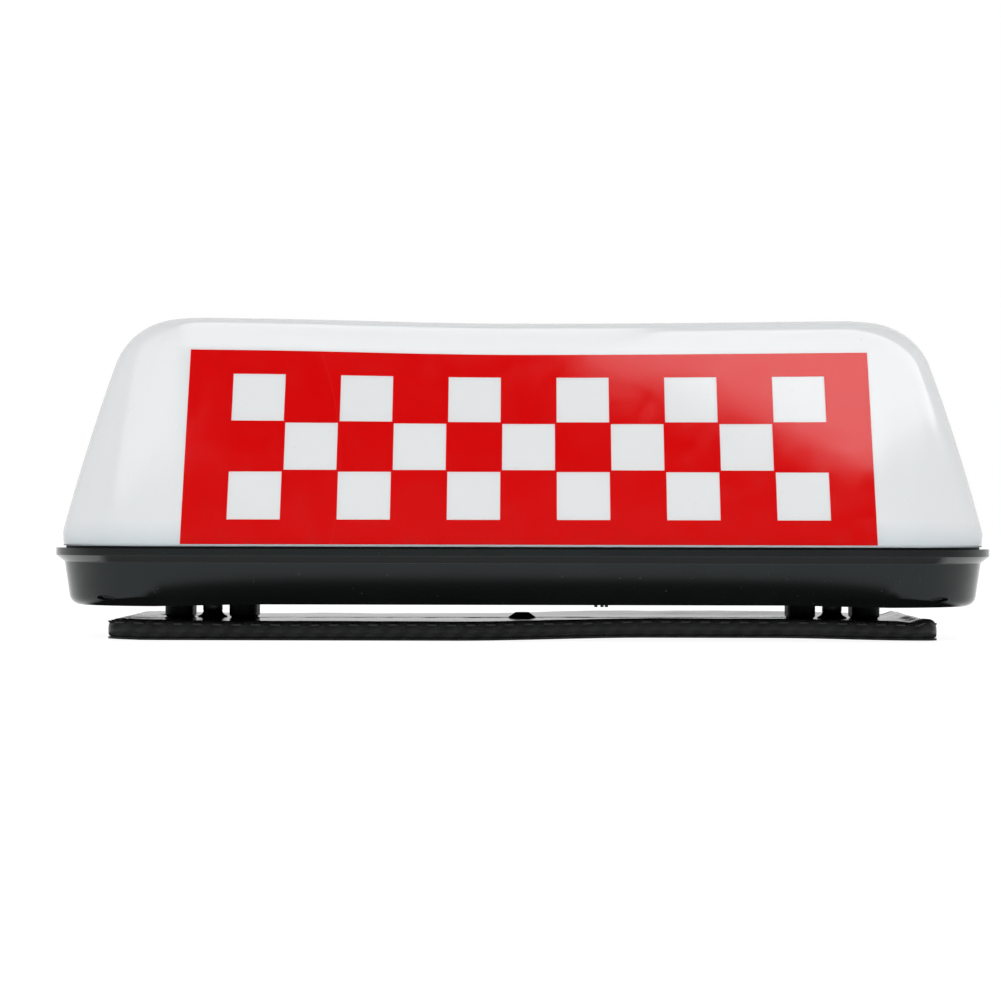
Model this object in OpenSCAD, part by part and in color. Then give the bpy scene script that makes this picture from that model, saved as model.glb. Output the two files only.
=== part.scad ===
// Illuminated roof sign for a taxi: a translucent dome on a moulded tray, stood on a magnetic mat.
// X runs along the sign, Y from front to back and Z up. The origin is the centre of the mat's underside.

/* [Base tray] */
// Length of the tray over its lip
tray_length = 341; // [338:0.5:346]
// Depth of the tray over its lip, front to back
tray_depth = 138; // [136:1:142]
// Height of the tray from the underside of its floor to the top of its lip
tray_height = 19.8; // [19.4:0.2:22]
// Plan radius of the tray's corners at the lip
tray_corner = 43; // [41:1:44]
// Thickness of the tray's floor
floor_thick = 2.5; // [2.2:0.1:3]
// Height of the feet under the tray
post_height = 6.4; // [6.2:0.1:6.8]

/* [Dome] */
// Height of the dome above the seal it stands on
dome_height = 83.8; // [80:0.2:88]
// Wall of the dome
dome_wall = 2.4; // [2:0.1:2.6]
// Step from the edge of the lip in to the dome
dome_step = 2.6; // [2.6:0.1:3.2]
// Lean of the front and back faces from upright, in degrees
face_lean = 24.5; // [23:0.5:25]
// Lean of the two ends from upright, in degrees
end_lean = 16; // [14.6:0.2:17]
// Rounding between the front face and the top
face_round = 21; // [19:0.5:22]
// Rounding between the ends and the top
end_round = 24; // [22:1:28]
// How far the two ends swell outward at mid height
end_bow = 1.6; // [0:0.1:2]

/* [Labels] */
// Width of each red label
label_width = 246; // [236:1:250]
// How far each label sits to the right of the middle of its face
label_shift = 2.2; // [0:0.2:3]
// Columns of the chequered band
check_columns = 11; // [7:2:11]
// Rows of the chequered band
check_rows = 3; // [1:2:3]
// Distance from one check to the next
check_pitch = 19.5; // [17:0.5:20]

/* [Magnetic mat] */
// Length of the mat
mat_length = 298; // [290:1:304]
// Depth of the mat, front to back
mat_depth = 100; // [96:1:110]
// Thickness of the mat
mat_thick = 6.8; // [6.8:0.1:7.4]

/* [Lighting] */
// LED packages on each of the two boards
chip_count = 12; // [12:12:12]
// Distance from one LED package to the next
chip_pitch = 22; // [20:0.5:22]
// Distance of each board from the middle of the tray
board_y = 17; // [15:0.5:18]

/* [Hidden] */
$fn = 48;
// Overshoot of a cut past the face it opens
cut = 0.5;

// Heights of the main levels
tray_z = mat_thick + post_height;
floor_z = tray_z + floor_thick;
rim_z = tray_z + tray_height;
gasket_thick = 0.8;
dome_z = rim_z + gasket_thick;

// The two ends of the tray reach lower than its middle, with a slope between them
end_drop = 0.8;
tray_foot = tray_z - end_drop;
raised_half = 98;
slope_half = 130;

// Tray section: each inset is measured in from the edge of the lip
lip_height = 2.6;
cove_inset = 3.1;
cove_height = 2.4;
wall_draft = 8.5;
edge_round = 4;
edge_steps = 5;
wall_foot_inset = cove_inset + (tray_height + end_drop - lip_height - cove_height - edge_round) * tan(wall_draft);
cavity_top_inset = 8;
cavity_foot_inset = 9.2;
cavity_chamfer = 1.8;
ridge_inset = 6.6;
ridge_height = 1.8;

// Feet, two at each end with a mat bolt between them, hollow from above
foot_x = 116.3;
post_offset = 12;
post_width = 10.4;
post_depth = 20;
post_corner = 4.6;
post_chamfer = 0.8;
post_wall = 2.2;

// Screws that hold the dome from below
dome_screw_x = 149;
dome_screw_y = 26;
dome_screw_radius = 1.7;
dome_screw_reach = 10;
dome_screw_head = [3.4, 2.4];
tray_boss_radius = 5.25;
boss_gap = 0.2;
counterbore_radius = 3.8;
counterbore_depth = 4.1;
bolt_pocket_radius = 6.2;
dome_boss_radius = 4.2;
dome_boss_height = 14;
gusset_thick = 2;
gusset_foot = 1.6;

// Drain slots low in the front and back walls
drain_x = 148;
drain_width = 7.2;
drain_height = 2;
drain_rise = 2.2;
drain_points = 24;
drain_reach = 24;
drain_inset = 8;

// Three small moulding pips under the floor, by the front edge
pip_places = [26.4, 28.6, 30.2];
pip_y = -50;
pip_radius = 0.6;
pip_drop = 1;

// Cable inlet in the back wall, beside the terminal block
inlet_x = 24;
inlet_z = tray_z + 9.4;
inlet_hole_radius = 4;
inlet_bore_radius = 2.6;
inlet_flange_radius = 5.4;
inlet_flange_thick = 1.8;
inlet_pad_width = 18;
inlet_pad_height = 13;
inlet_pad_outer_y = tray_depth / 2 - 3;
inlet_pad_inner_y = inlet_pad_outer_y - 6.5;

// Reflector plate and what stands on it
standoff_height = 10;
standoff_radius = 3.5;
plate_z = floor_z + standoff_height;
plate_thick = 1.5;
plate_length = 286;
plate_depth = 94;
plate_corner = 12;
plate_notch_half = 32;
plate_notch_y = 28;
plate_screw_radius = 1.5;
plate_screw_head = [2.8, 2];
plate_screw_length = 8;
plate_screw_floor = 2;
plate_screw_xy = [[131, 36], [50, 36]];
board_length = 272;
board_width = 14;
board_thick = 1.6;
board_z = plate_z + plate_thick;
board_top = board_z + board_thick;
board_screw_x = [-5 * chip_pitch, 0, 5 * chip_pitch];
board_screw_radius = 1.25;
board_screw_head = [2.3, 1.7];
board_screw_length = 5;
resistor_x = [-4 * chip_pitch, -2 * chip_pitch, 2 * chip_pitch, 4 * chip_pitch];
chip_size = 5;
chip_thick = 1.6;
lens_radius = 1.9;
lens_depth = 0.3;
resistor_size = [3.2, 1.6, 0.6];

// Terminal block on the floor behind the boards
terminal_y = 43;
terminal_size = [20, 13, 11];
terminal_pole = 4.75;
terminal_well = 5;
terminal_screw_radius = 2;
terminal_entry_z = 4;
wire_radius = 0.9;
wire_sides = 8;
wire_gap = 0.05;

// Layers of the mat, from the roof up
sheet_thick = 0.8;
magnet_thick = 2.2;
core_z = sheet_thick + magnet_thick;
core_top = mat_thick - sheet_thick;
clamp_thick = 1.4;
clamp_length = 30;
clamp_depth = 44;
clamp_corner = 3;
mat_corner = 5;
mat_edge_round = 1.6;

// M4 fixings between the mat and the tray
bolt_radius = 2;
bolt_head_radius = 4.6;
bolt_clearance = 0.3;
nut_fit = 0.05;
nut_radius = 4.04;
nut_height = 3.2;
cone_height = 2.2;
cone_profile = [[5.6, 0], [5.4, 0.4], [4.4, 0.9], [3.8, 1.5], [3.6, cone_height]];
washer_radius = 4.5;
washer_thick = 0.8;
lock_radius = 3.6;
lock_gap = 0.8;
bolt_top = floor_z + washer_thick + nut_height + 2;

// Rivet through the middle of the mat
rivet_radius = 2;
rivet_head_radius = 5.4;
rivet_head_top = 2.5;
rivet_head_height = 2;
rivet_tail_thick = 0.8;
rivet_washer_radius = 6;

// ---------------------------------------------------------------------------------------------- dome shape

dome_half_length = tray_length / 2 - dome_step;
dome_half_depth = tray_depth / 2 - dome_step;
dome_corner = tray_corner - dome_step;
// Height of the upright skirt at the two ends
dome_skirt = 5;
// How quickly the plan corners tighten as the dome narrows
corner_taper = 0.75;
// Points round each plan corner and rings up each rounded shoulder
corner_steps = 8;
shoulder_steps = 8;
ring_points = 4 * (corner_steps + 1);

// Half size of a leaning wall at height h that ends in a round of radius r under a flat top
function half_at(h, foot, skirt, lean, r, height) =
    let (arc_z = height - r, join = arc_z + r * sin(lean), run = foot - (join - skirt) * tan(lean))
    h <= skirt ? foot
    : h <= join ? foot - (h - skirt) * tan(lean)
    : run - r * cos(lean) + sqrt(max(0, r * r - (h - arc_z) * (h - arc_z)));

function dome_half_x(h, wall) =
    half_at(h, dome_half_length - wall / cos(end_lean), dome_skirt, end_lean, end_round - wall, dome_height - wall)
        + end_bow * 4 * h / dome_height * (1 - h / dome_height);

function dome_half_y(h, wall) =
    half_at(h, dome_half_depth - wall / cos(face_lean), 0, face_lean, face_round - wall, dome_height - wall);

function dome_corner_at(h, wall) =
    (dome_corner - wall) * pow(dome_half_y(h, wall) / (dome_half_depth - wall / cos(face_lean)), corner_taper);

// Heights of the rings: up the leaning walls, then round the shoulder
function dome_levels(wall) = concat(
    [0, dome_skirt, 20, 38, 54],
    [for (k = [0 : shoulder_steps])
        let (turn = end_lean + (90 - end_lean) * k / shoulder_steps)
        dome_height - wall - (end_round - wall) * (1 - sin(turn))]);

function dome_ring(h, wall) =
    let (a = dome_half_x(h, wall), b = dome_half_y(h, wall), c = dome_corner_at(h, wall))
    [for (quarter = [0 : 3], k = [0 : corner_steps])
        let (turn = 90 * (quarter + k / corner_steps))
        [(a - c) * sign(cos(90 * quarter + 45)) + c * cos(turn),
            (b - c) * sign(sin(90 * quarter + 45)) + c * sin(turn),
            h]];

module dome_shell() {
    outer = [for (h = dome_levels(0)) each dome_ring(h, 0)];
    inner = [for (h = dome_levels(dome_wall)) each dome_ring(h, dome_wall)];
    rings = len(dome_levels(0));
    start = len(outer);
    last = (rings - 1) * ring_points;
    around = [for (j = [0 : ring_points - 1]) [j, (j + 1) % ring_points]];
    outer_faces = [for (i = [0 : rings - 2], s = around)
        let (low = i * ring_points, high = low + ring_points)
        each [[low + s[0], high + s[0], high + s[1]], [low + s[0], high + s[1], low + s[1]]]];
    inner_faces = [for (face = outer_faces) [start + face[0], start + face[2], start + face[1]]];
    foot_faces = [for (s = around)
        each [[s[0], s[1], start + s[1]], [s[0], start + s[1], start + s[0]]]];
    top_face = [for (j = [ring_points - 1 : -1 : 0]) last + j];
    ceiling_face = [for (j = [0 : ring_points - 1]) start + last + j];
    polyhedron(concat(outer, inner), concat(outer_faces, inner_faces, foot_faces, [top_face, ceiling_face]));
}

// ---------------------------------------------------------------------------------------------- shared shapes

module rounded_rect(length, width, radius) {
    square([length - 2 * radius, width], center = true);
    square([length, width - 2 * radius], center = true);
    for (x = [-1, 1], y = [-1, 1])
        translate([x * (length / 2 - radius), y * (width / 2 - radius)])
            circle(radius);
}

module rounded_plate(length, width, radius, thick) {
    linear_extrude(thick)
        rounded_rect(length, width, radius);
}

// Solid block whose edge follows an outline of [inset, height] points round a rounded rectangle
module swept_block(outline, length, width, radius) {
    foot = outline[0][1];
    top = outline[len(outline) - 1][1];
    section = concat([[0, foot]], [for (p = outline) [radius - p[0], p[1]]], [[0, top]]);
    x = length / 2 - radius;
    y = width / 2 - radius;
    for (quarter = [0 : 3])
        translate([x * sign(cos(90 * quarter + 45)), y * sign(sin(90 * quarter + 45)), 0])
            rotate([0, 0, 90 * quarter])
                rotate_extrude(angle = 90)
                    polygon(section);
    for (side = [0, 1]) {
        mirror([0, side, 0])
            translate([-x, y, 0])
                rotate([90, 0, 90])
                    linear_extrude(2 * x)
                        polygon(section);
        mirror([side, 0, 0])
            translate([x, y, 0])
                rotate([90, 0, 0])
                    linear_extrude(2 * y)
                        polygon(section);
    }
    translate([-x, -y, foot])
        cube([2 * x, 2 * y, top - foot]);
}

module at_four(x, y) {
    for (sx = [-1, 1], sy = [-1, 1])
        translate([sx * x, sy * y, 0])
            children();
}

module at_bolts() {
    for (foot = [-1, 1])
        translate([foot * foot_x, 0, 0])
            children();
}

module ring(outer_radius, inner_radius, thick) {
    difference() {
        cylinder(h = thick, r = outer_radius);
        translate([0, 0, -cut])
            cylinder(h = thick + 2 * cut, r = inner_radius);
    }
}

module hex_nut() {
    difference() {
        cylinder(h = nut_height, r = nut_radius, $fn = 6);
        translate([0, 0, -cut])
            cylinder(h = nut_height + 2 * cut, r = bolt_radius + nut_fit);
    }
}

// Pan-head screw with its head up and a cross slot, seated at z = 0; head is [radius, height]
module pan_screw(head, shank_radius, shank_length) {
    rim_height = head[1] * 0.6;
    slot_width = head[0] / 3;
    slot_half = head[0] * 0.6;
    translate([0, 0, -shank_length])
        cylinder(h = shank_length + head[1] / 2, r = shank_radius);
    difference() {
        union() {
            cylinder(h = rim_height, r = head[0]);
            translate([0, 0, rim_height])
                cylinder(h = head[1] - rim_height, r1 = head[0], r2 = head[0] * 0.7);
        }
        for (turn = [0, 90])
            rotate([0, 0, turn])
                translate([-slot_half, -slot_width / 2, head[1] * 0.55])
                    cube([2 * slot_half, slot_width, head[1]]);
    }
}

// Insulated wire that stays in one upright plane, along a route of [y, z] points
module wire(x, route) {
    count = len(route);
    points = [for (i = [0 : count - 1])
        let (before = route[max(i - 1, 0)], after = route[min(i + 1, count - 1)])
        let (along = (after - before) / norm(after - before))
        for (k = [0 : wire_sides - 1])
            let (turn = 360 * k / wire_sides)
            [x + wire_radius * cos(turn),
                route[i][0] - wire_radius * sin(turn) * along[1],
                route[i][1] + wire_radius * sin(turn) * along[0]]];
    walls = [for (i = [0 : count - 2], k = [0 : wire_sides - 1])
        let (low = i * wire_sides, high = low + wire_sides, next = (k + 1) % wire_sides)
        each [[low + k, low + next, high + next], [low + k, high + next, high + k]]];
    start_cap = [for (k = [wire_sides - 1 : -1 : 0]) k];
    end_cap = [for (k = [0 : wire_sides - 1]) (count - 1) * wire_sides + k];
    polyhedron(points, concat(walls, [start_cap, end_cap]));
}

// ---------------------------------------------------------------------------------------------- base tray

function tray_outline() = concat(
    [for (k = [0 : edge_steps])
        let (turn = (90 - wall_draft) * k / edge_steps)
        [wall_foot_inset + edge_round * (1 - sin(turn)), tray_foot + edge_round * (1 - cos(turn))]],
    [[cove_inset, rim_z - lip_height - cove_height], [0, rim_z - lip_height], [0, rim_z]]);

function cavity_outline() = [
    [cavity_foot_inset + cavity_chamfer, floor_z],
    [cavity_foot_inset, floor_z + cavity_chamfer],
    [cavity_top_inset, rim_z],
    [cavity_top_inset, rim_z + ridge_height + cut]];

module foot_post() {
    swept_block([[post_chamfer, 0], [0, post_chamfer], [0, post_height + floor_thick / 2]],
        post_width, post_depth, post_corner);
}

module at_posts() {
    for (foot = [-1, 1], side = [-1, 1])
        translate([foot * foot_x + side * post_offset, 0, mat_thick])
            children();
}

// Drain opening, blunt towards the end of the tray and drawn out to a point towards the middle
module drain_slot() {
    rotate([90, 0, 0])
        linear_extrude(drain_reach, center = true)
            polygon([for (k = [0 : drain_points - 1])
                let (turn = 360 * k / drain_points)
                [drain_width / 2 * cos(turn), drain_height / 2 * sin(turn) * (0.75 + 0.25 * cos(turn))]]);
}

// What is taken off under the tray's middle, and round the two mat bolts on its slopes
module raised_middle() {
    rotate([90, 0, 0])
        linear_extrude(tray_depth, center = true)
            polygon([[-slope_half, tray_foot], [-raised_half, tray_z], [raised_half, tray_z],
                [slope_half, tray_foot], [slope_half, tray_foot - cut], [-slope_half, tray_foot - cut]]);
    at_bolts()
        translate([0, 0, tray_foot - cut])
            cylinder(h = end_drop + cut, r = bolt_pocket_radius);
}

module tray_solid() {
    difference() {
        union() {
            difference() {
                swept_block(tray_outline(), tray_length, tray_depth, tray_corner);
                raised_middle();
            }
            translate([0, 0, rim_z - cut])
                rounded_plate(tray_length - 2 * ridge_inset, tray_depth - 2 * ridge_inset,
                    tray_corner - ridge_inset, ridge_height + cut);
            at_posts() foot_post();
            for (x = pip_places)
                translate([x, pip_y, tray_z - pip_drop])
                    cylinder(h = pip_drop + cut, r = pip_radius);
        }
        swept_block(cavity_outline(), tray_length, tray_depth, tray_corner);
        at_posts()
            translate([post_wall - post_width / 2, post_wall - post_depth / 2, post_wall])
                cube([post_width - 2 * post_wall, post_depth - 2 * post_wall, post_height + floor_thick]);
    }
    at_four(dome_screw_x, dome_screw_y)
        translate([0, 0, floor_z - cut])
            cylinder(h = rim_z - boss_gap - floor_z + cut, r = tray_boss_radius);
    for (place = plate_screw_xy)
        at_four(place[0], place[1])
            translate([0, 0, floor_z - cut])
                cylinder(h = standoff_height + cut, r = standoff_radius);
    translate([inlet_x - inlet_pad_width / 2, inlet_pad_inner_y, inlet_z - inlet_pad_height / 2])
        cube([inlet_pad_width, inlet_pad_outer_y - inlet_pad_inner_y, inlet_pad_height]);
}

module base_tray() {
    color([0.16, 0.17, 0.18])
        difference() {
            tray_solid();
            at_four(dome_screw_x, dome_screw_y) {
                translate([0, 0, tray_foot - cut])
                    cylinder(h = end_drop + counterbore_depth + cut, r = counterbore_radius);
                translate([0, 0, tray_z])
                    cylinder(h = tray_height + cut, r = dome_screw_radius + bolt_clearance);
            }
            for (place = plate_screw_xy)
                at_four(place[0], place[1])
                    translate([0, 0, floor_z + plate_screw_floor])
                        cylinder(h = standoff_height, r = plate_screw_radius + nut_fit);
            at_bolts()
                translate([0, 0, tray_z - cut])
                    cylinder(h = floor_thick + 2 * cut, r = bolt_radius + bolt_clearance);
            for (end = [0, 1], side = [0, 1])
                mirror([end, 0, 0])
                    mirror([0, side, 0])
                        translate([drain_x, tray_depth / 2 - drain_inset, tray_z + drain_rise])
                            drain_slot();
            translate([inlet_x, inlet_pad_inner_y - cut, inlet_z])
                rotate([-90, 0, 0])
                    cylinder(h = tray_depth, r = inlet_hole_radius);
        }
}

module rim_gasket() {
    outer_inset = dome_step + 1;
    inner_inset = dome_step + dome_wall;
    color([0.06, 0.06, 0.06])
        translate([0, 0, rim_z])
            difference() {
                rounded_plate(tray_length - 2 * outer_inset, tray_depth - 2 * outer_inset,
                    tray_corner - outer_inset, gasket_thick);
                translate([0, 0, -cut])
                    rounded_plate(tray_length - 2 * inner_inset, tray_depth - 2 * inner_inset,
                        tray_corner - inner_inset, gasket_thick + 2 * cut);
            }
}

module dome_screws() {
    seat = tray_z + counterbore_depth;
    color([0.75, 0.75, 0.73])
        at_four(dome_screw_x, dome_screw_y)
            translate([0, 0, seat])
                mirror([0, 0, 1])
                    pan_screw(dome_screw_head, dome_screw_radius, dome_z + dome_screw_reach - seat);
}

module cable_grommet() {
    wall = inlet_pad_outer_y - inlet_pad_inner_y;
    color([0.05, 0.05, 0.05])
        translate([inlet_x, inlet_pad_inner_y - inlet_flange_thick, inlet_z])
            rotate([-90, 0, 0])
                difference() {
                    union() {
                        cylinder(h = inlet_flange_thick, r = inlet_flange_radius);
                        cylinder(h = wall + 2 * inlet_flange_thick, r = inlet_hole_radius);
                        translate([0, 0, wall + inlet_flange_thick])
                            cylinder(h = inlet_flange_thick, r = inlet_flange_radius);
                    }
                    translate([0, 0, -cut])
                        cylinder(h = wall + 2 * inlet_flange_thick + 2 * cut, r = inlet_bore_radius);
                }
}

// ---------------------------------------------------------------------------------------------- lighting

module reflector_plate() {
    notch_depth = plate_depth / 2 - plate_notch_y + cut;
    color([0.93, 0.93, 0.91])
        translate([0, 0, plate_z])
            difference() {
                rounded_plate(plate_length, plate_depth, plate_corner, plate_thick);
                translate([-plate_notch_half, plate_notch_y, -cut])
                    cube([2 * plate_notch_half, notch_depth, plate_thick + 2 * cut]);
                for (place = plate_screw_xy)
                    at_four(place[0], place[1])
                        translate([0, 0, -cut])
                            cylinder(h = plate_thick + 2 * cut, r = plate_screw_radius + bolt_clearance);
                for (x = board_screw_x, side = [-1, 1])
                    translate([x, side * board_y, -cut])
                        cylinder(h = plate_thick + 2 * cut, r = board_screw_radius + nut_fit);
            }
}

module plate_screws() {
    color([0.75, 0.75, 0.73])
        for (place = plate_screw_xy)
            at_four(place[0], place[1])
                translate([0, 0, plate_z + plate_thick])
                    pan_screw(plate_screw_head, plate_screw_radius, plate_screw_length);
}

module led_boards() {
    color([0.90, 0.91, 0.88])
        for (side = [-1, 1])
            translate([0, side * board_y, board_z])
                difference() {
                    rounded_plate(board_length, board_width, 1.5, board_thick);
                    for (x = board_screw_x)
                        translate([x, 0, -cut])
                            cylinder(h = board_thick + 2 * cut, r = board_screw_radius + bolt_clearance);
                }
}

module led_chips() {
    color([0.95, 0.88, 0.45])
        for (side = [-1, 1], i = [0 : chip_count - 1])
            translate([(i - (chip_count - 1) / 2) * chip_pitch, side * board_y, board_top])
                difference() {
                    translate([0, 0, chip_thick / 2])
                        cube([chip_size, chip_size, chip_thick], center = true);
                    translate([0, 0, chip_thick - lens_depth])
                        cylinder(h = lens_depth + cut, r = lens_radius);
                }
}

module board_resistors() {
    color([0.08, 0.08, 0.09])
        for (side = [-1, 1], x = resistor_x)
            translate([x, side * board_y, board_top + resistor_size[2] / 2])
                cube(resistor_size, center = true);
}

module board_screws() {
    color([0.75, 0.75, 0.73])
        for (side = [-1, 1], x = board_screw_x)
            translate([x, side * board_y, board_top])
                pan_screw(board_screw_head, board_screw_radius, board_screw_length);
}

module terminal_block() {
    entry_radius = 1.4;
    entry_depth = 4.5;
    slot = [1.2, 3];
    color([0.90, 0.90, 0.86])
        translate([0, terminal_y, floor_z])
            difference() {
                translate([0, 0, terminal_size[2] / 2])
                    cube(terminal_size, center = true);
                for (pole = [-terminal_pole, terminal_pole]) {
                    translate([pole, 0, terminal_size[2] - terminal_well])
                        cylinder(h = terminal_well + cut, r = terminal_screw_radius + 0.2);
                    for (side = [0, 180])
                        rotate([0, 0, side])
                            translate([-pole, entry_depth - terminal_size[1] / 2, terminal_entry_z])
                                rotate([90, 0, 0])
                                    cylinder(h = entry_depth + cut, r = entry_radius);
                }
                translate([-slot[0] / 2, -terminal_size[1] / 2 - cut, terminal_size[2] - slot[1]])
                    cube([slot[0], terminal_size[1] + 2 * cut, slot[1] + cut]);
            }
}

module terminal_screws() {
    screw_height = 3.4;
    slot = [0.8, 0.8];
    color([0.80, 0.72, 0.40])
        for (pole = [-terminal_pole, terminal_pole])
            translate([pole, terminal_y, floor_z + terminal_size[2] - terminal_well])
                difference() {
                    cylinder(h = screw_height, r = terminal_screw_radius);
                    translate([-terminal_screw_radius - cut, -slot[0] / 2, screw_height - slot[1]])
                        cube([2 * (terminal_screw_radius + cut), slot[0], slot[1] + cut]);
                }
}

// Routes of the internal wires as [y, z] points
feed_route = [[terminal_y - terminal_size[1] / 2 + 3, floor_z + terminal_entry_z],
    [35, floor_z + terminal_entry_z], [32, floor_z + 5],
    [30.3, floor_z + 7.5], [29.6, plate_z], [29.2, board_z + 1], [28, board_top + 1.6],
    [26, board_top + 1.9], [24.2, board_top + 1.4], [22.8, board_top + wire_radius + wire_gap]];
jumper_route = [[board_y - 5, board_top + wire_radius + wire_gap], [9, board_top + 1.2], [6, board_top + 2.2],
    [2, board_top + 2.8], [-2, board_top + 2.8], [-6, board_top + 2.2], [-9, board_top + 1.2],
    [5 - board_y, board_top + wire_radius + wire_gap]];
jumper_x = 66;

module wire_positive() {
    color([0.75, 0.08, 0.06]) {
        wire(-terminal_pole, feed_route);
        wire(-jumper_x, jumper_route);
    }
}

module wire_negative() {
    color([0.07, 0.07, 0.07]) {
        wire(terminal_pole, feed_route);
        wire(jumper_x, jumper_route);
    }
}

// ---------------------------------------------------------------------------------------------- magnetic mat

function mat_outline() = concat(
    [[0, sheet_thick]],
    [for (k = [0 : edge_steps])
        let (turn = 90 * k / edge_steps)
        [mat_edge_round * (1 - cos(turn)), mat_thick - mat_edge_round * (1 - sin(turn))]]);

module mat_bolt_holes(radius, foot, height) {
    at_bolts()
        translate([0, 0, foot])
            cylinder(h = height, r = radius);
}

module mat_bottom_cover() {
    color([0.07, 0.07, 0.07])
        rounded_plate(mat_length, mat_depth, mat_corner, sheet_thick);
}

module mat_magnets() {
    gap = 16;
    margin = 4;
    half = (mat_length - gap) / 2 - margin;
    color([0.20, 0.17, 0.15])
        difference() {
            for (side = [-1, 1])
                translate([side * (gap / 2 + half / 2), 0, sheet_thick])
                    rounded_plate(half, mat_depth - 2 * margin, 3, magnet_thick);
            mat_bolt_holes(bolt_head_radius + 1, 0, core_z + cut);
        }
}

module clamp_plates() {
    color([0.62, 0.63, 0.64])
        difference() {
            for (side = [-1, 1])
                translate([side * foot_x, 0, core_z])
                    rounded_plate(clamp_length, clamp_depth, clamp_corner, clamp_thick);
            mat_bolt_holes(bolt_radius + nut_fit, core_z - cut, clamp_thick + 2 * cut);
        }
}

module mat_core() {
    margin = sheet_thick + 0.4;
    color([0.25, 0.25, 0.26])
        difference() {
            translate([0, 0, core_z])
                rounded_plate(mat_length - 2 * margin, mat_depth - 2 * margin, mat_corner - margin,
                    core_top - core_z);
            for (side = [-1, 1])
                translate([side * foot_x, 0, core_z - cut])
                    rounded_plate(clamp_length + 1, clamp_depth + 1, clamp_corner, clamp_thick + cut);
            mat_bolt_holes(bolt_radius + bolt_clearance, core_z, mat_thick);
            translate([0, 0, core_z - cut])
                cylinder(h = mat_thick, r = rivet_radius + nut_fit);
        }
}

module mat_top_cover() {
    color([0.10, 0.10, 0.11])
        difference() {
            swept_block(mat_outline(), mat_length, mat_depth, mat_corner);
            translate([0, 0, sheet_thick - cut])
                rounded_plate(mat_length - 2 * sheet_thick, mat_depth - 2 * sheet_thick,
                    mat_corner - sheet_thick, core_top - sheet_thick + cut);
            mat_bolt_holes(bolt_radius + bolt_clearance, core_top - cut, sheet_thick + 2 * cut);
            translate([0, 0, core_top - cut])
                cylinder(h = sheet_thick + 2 * cut, r = rivet_radius + nut_fit);
        }
}

module mat_bolts() {
    color([0.55, 0.56, 0.57])
        at_bolts() {
            translate([0, 0, sheet_thick])
                cylinder(h = magnet_thick, r1 = bolt_head_radius - 1.2, r2 = bolt_head_radius);
            translate([0, 0, core_z - cut])
                cylinder(h = bolt_top - core_z + cut, r = bolt_radius);
        }
}

module conical_washers() {
    bore = bolt_radius + nut_fit;
    color([0.06, 0.06, 0.06])
        at_bolts()
            translate([0, 0, mat_thick])
                rotate_extrude()
                    polygon(concat([[bore, 0]], cone_profile, [[bore, cone_height]]));
}

module mat_nuts() {
    color([0.45, 0.46, 0.47])
        at_bolts()
            translate([0, 0, mat_thick + cone_height])
                rotate([0, 0, 30])
                    hex_nut();
}

module lock_washers() {
    foot = mat_thick + cone_height + nut_height;
    color([0.45, 0.46, 0.47])
        at_bolts()
            translate([0, 0, foot])
                difference() {
                    ring(lock_radius, bolt_radius + nut_fit, tray_z - foot);
                    translate([0, -lock_gap / 2, -cut])
                        cube([lock_radius + cut, lock_gap, tray_z - foot + 2 * cut]);
                }
}

module tray_washers() {
    color([0.75, 0.75, 0.73])
        at_bolts()
            translate([0, 0, floor_z])
                ring(washer_radius, bolt_radius + nut_fit, washer_thick);
}

module tray_nuts() {
    color([0.75, 0.75, 0.73])
        at_bolts()
            translate([0, 0, floor_z + washer_thick])
                rotate([0, 0, 30])
                    hex_nut();
}

module centre_rivet() {
    foot = core_z - washer_thick - rivet_tail_thick;
    color([0.05, 0.05, 0.05]) {
        translate([0, 0, mat_thick])
            cylinder(h = rivet_head_height, r1 = rivet_head_radius, r2 = rivet_head_top);
        translate([0, 0, foot])
            cylinder(h = mat_thick - foot, r = rivet_radius);
        translate([0, 0, foot])
            cylinder(h = rivet_tail_thick, r = rivet_radius + 1);
    }
}

module rivet_washer() {
    color([0.62, 0.63, 0.64])
        translate([0, 0, core_z - washer_thick])
            ring(rivet_washer_radius, rivet_radius + nut_fit, washer_thick);
}

// ---------------------------------------------------------------------------------------------- dome parts

module dome_boss() {
    // Outer edge of the gusset, half way through the end wall
    wall_x = dome_half_length - dome_wall / 2 - dome_screw_x;
    rise = dome_boss_height - dome_skirt;
    translate([0, 0, rim_z])
        cylinder(h = gasket_thick + dome_boss_height, r = dome_boss_radius);
    translate([0, gusset_thick / 2, dome_z])
        rotate([90, 0, 0])
            linear_extrude(gusset_thick)
                polygon([[0, gusset_foot], [wall_x, gusset_foot], [wall_x, dome_skirt],
                    [wall_x - rise * tan(end_lean), dome_boss_height], [0, dome_boss_height]]);
}

module dome_cover() {
    gate_radius = 3.5;
    gate_height = 1;
    color([0.90, 0.92, 0.93])
        difference() {
            union() {
                translate([0, 0, dome_z])
                    dome_shell();
                for (end = [0, 1], side = [-1, 1])
                    mirror([end, 0, 0])
                        translate([dome_screw_x, side * dome_screw_y, 0])
                            dome_boss();
                translate([0, 0, dome_z + dome_height - cut])
                    cylinder(h = gate_height + cut, r = gate_radius);
            }
            at_four(dome_screw_x, dome_screw_y)
                translate([0, 0, rim_z - cut])
                    cylinder(h = cut + gasket_thick + dome_screw_reach + 1, r = dome_screw_radius + 0.1);
        }
}

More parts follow.
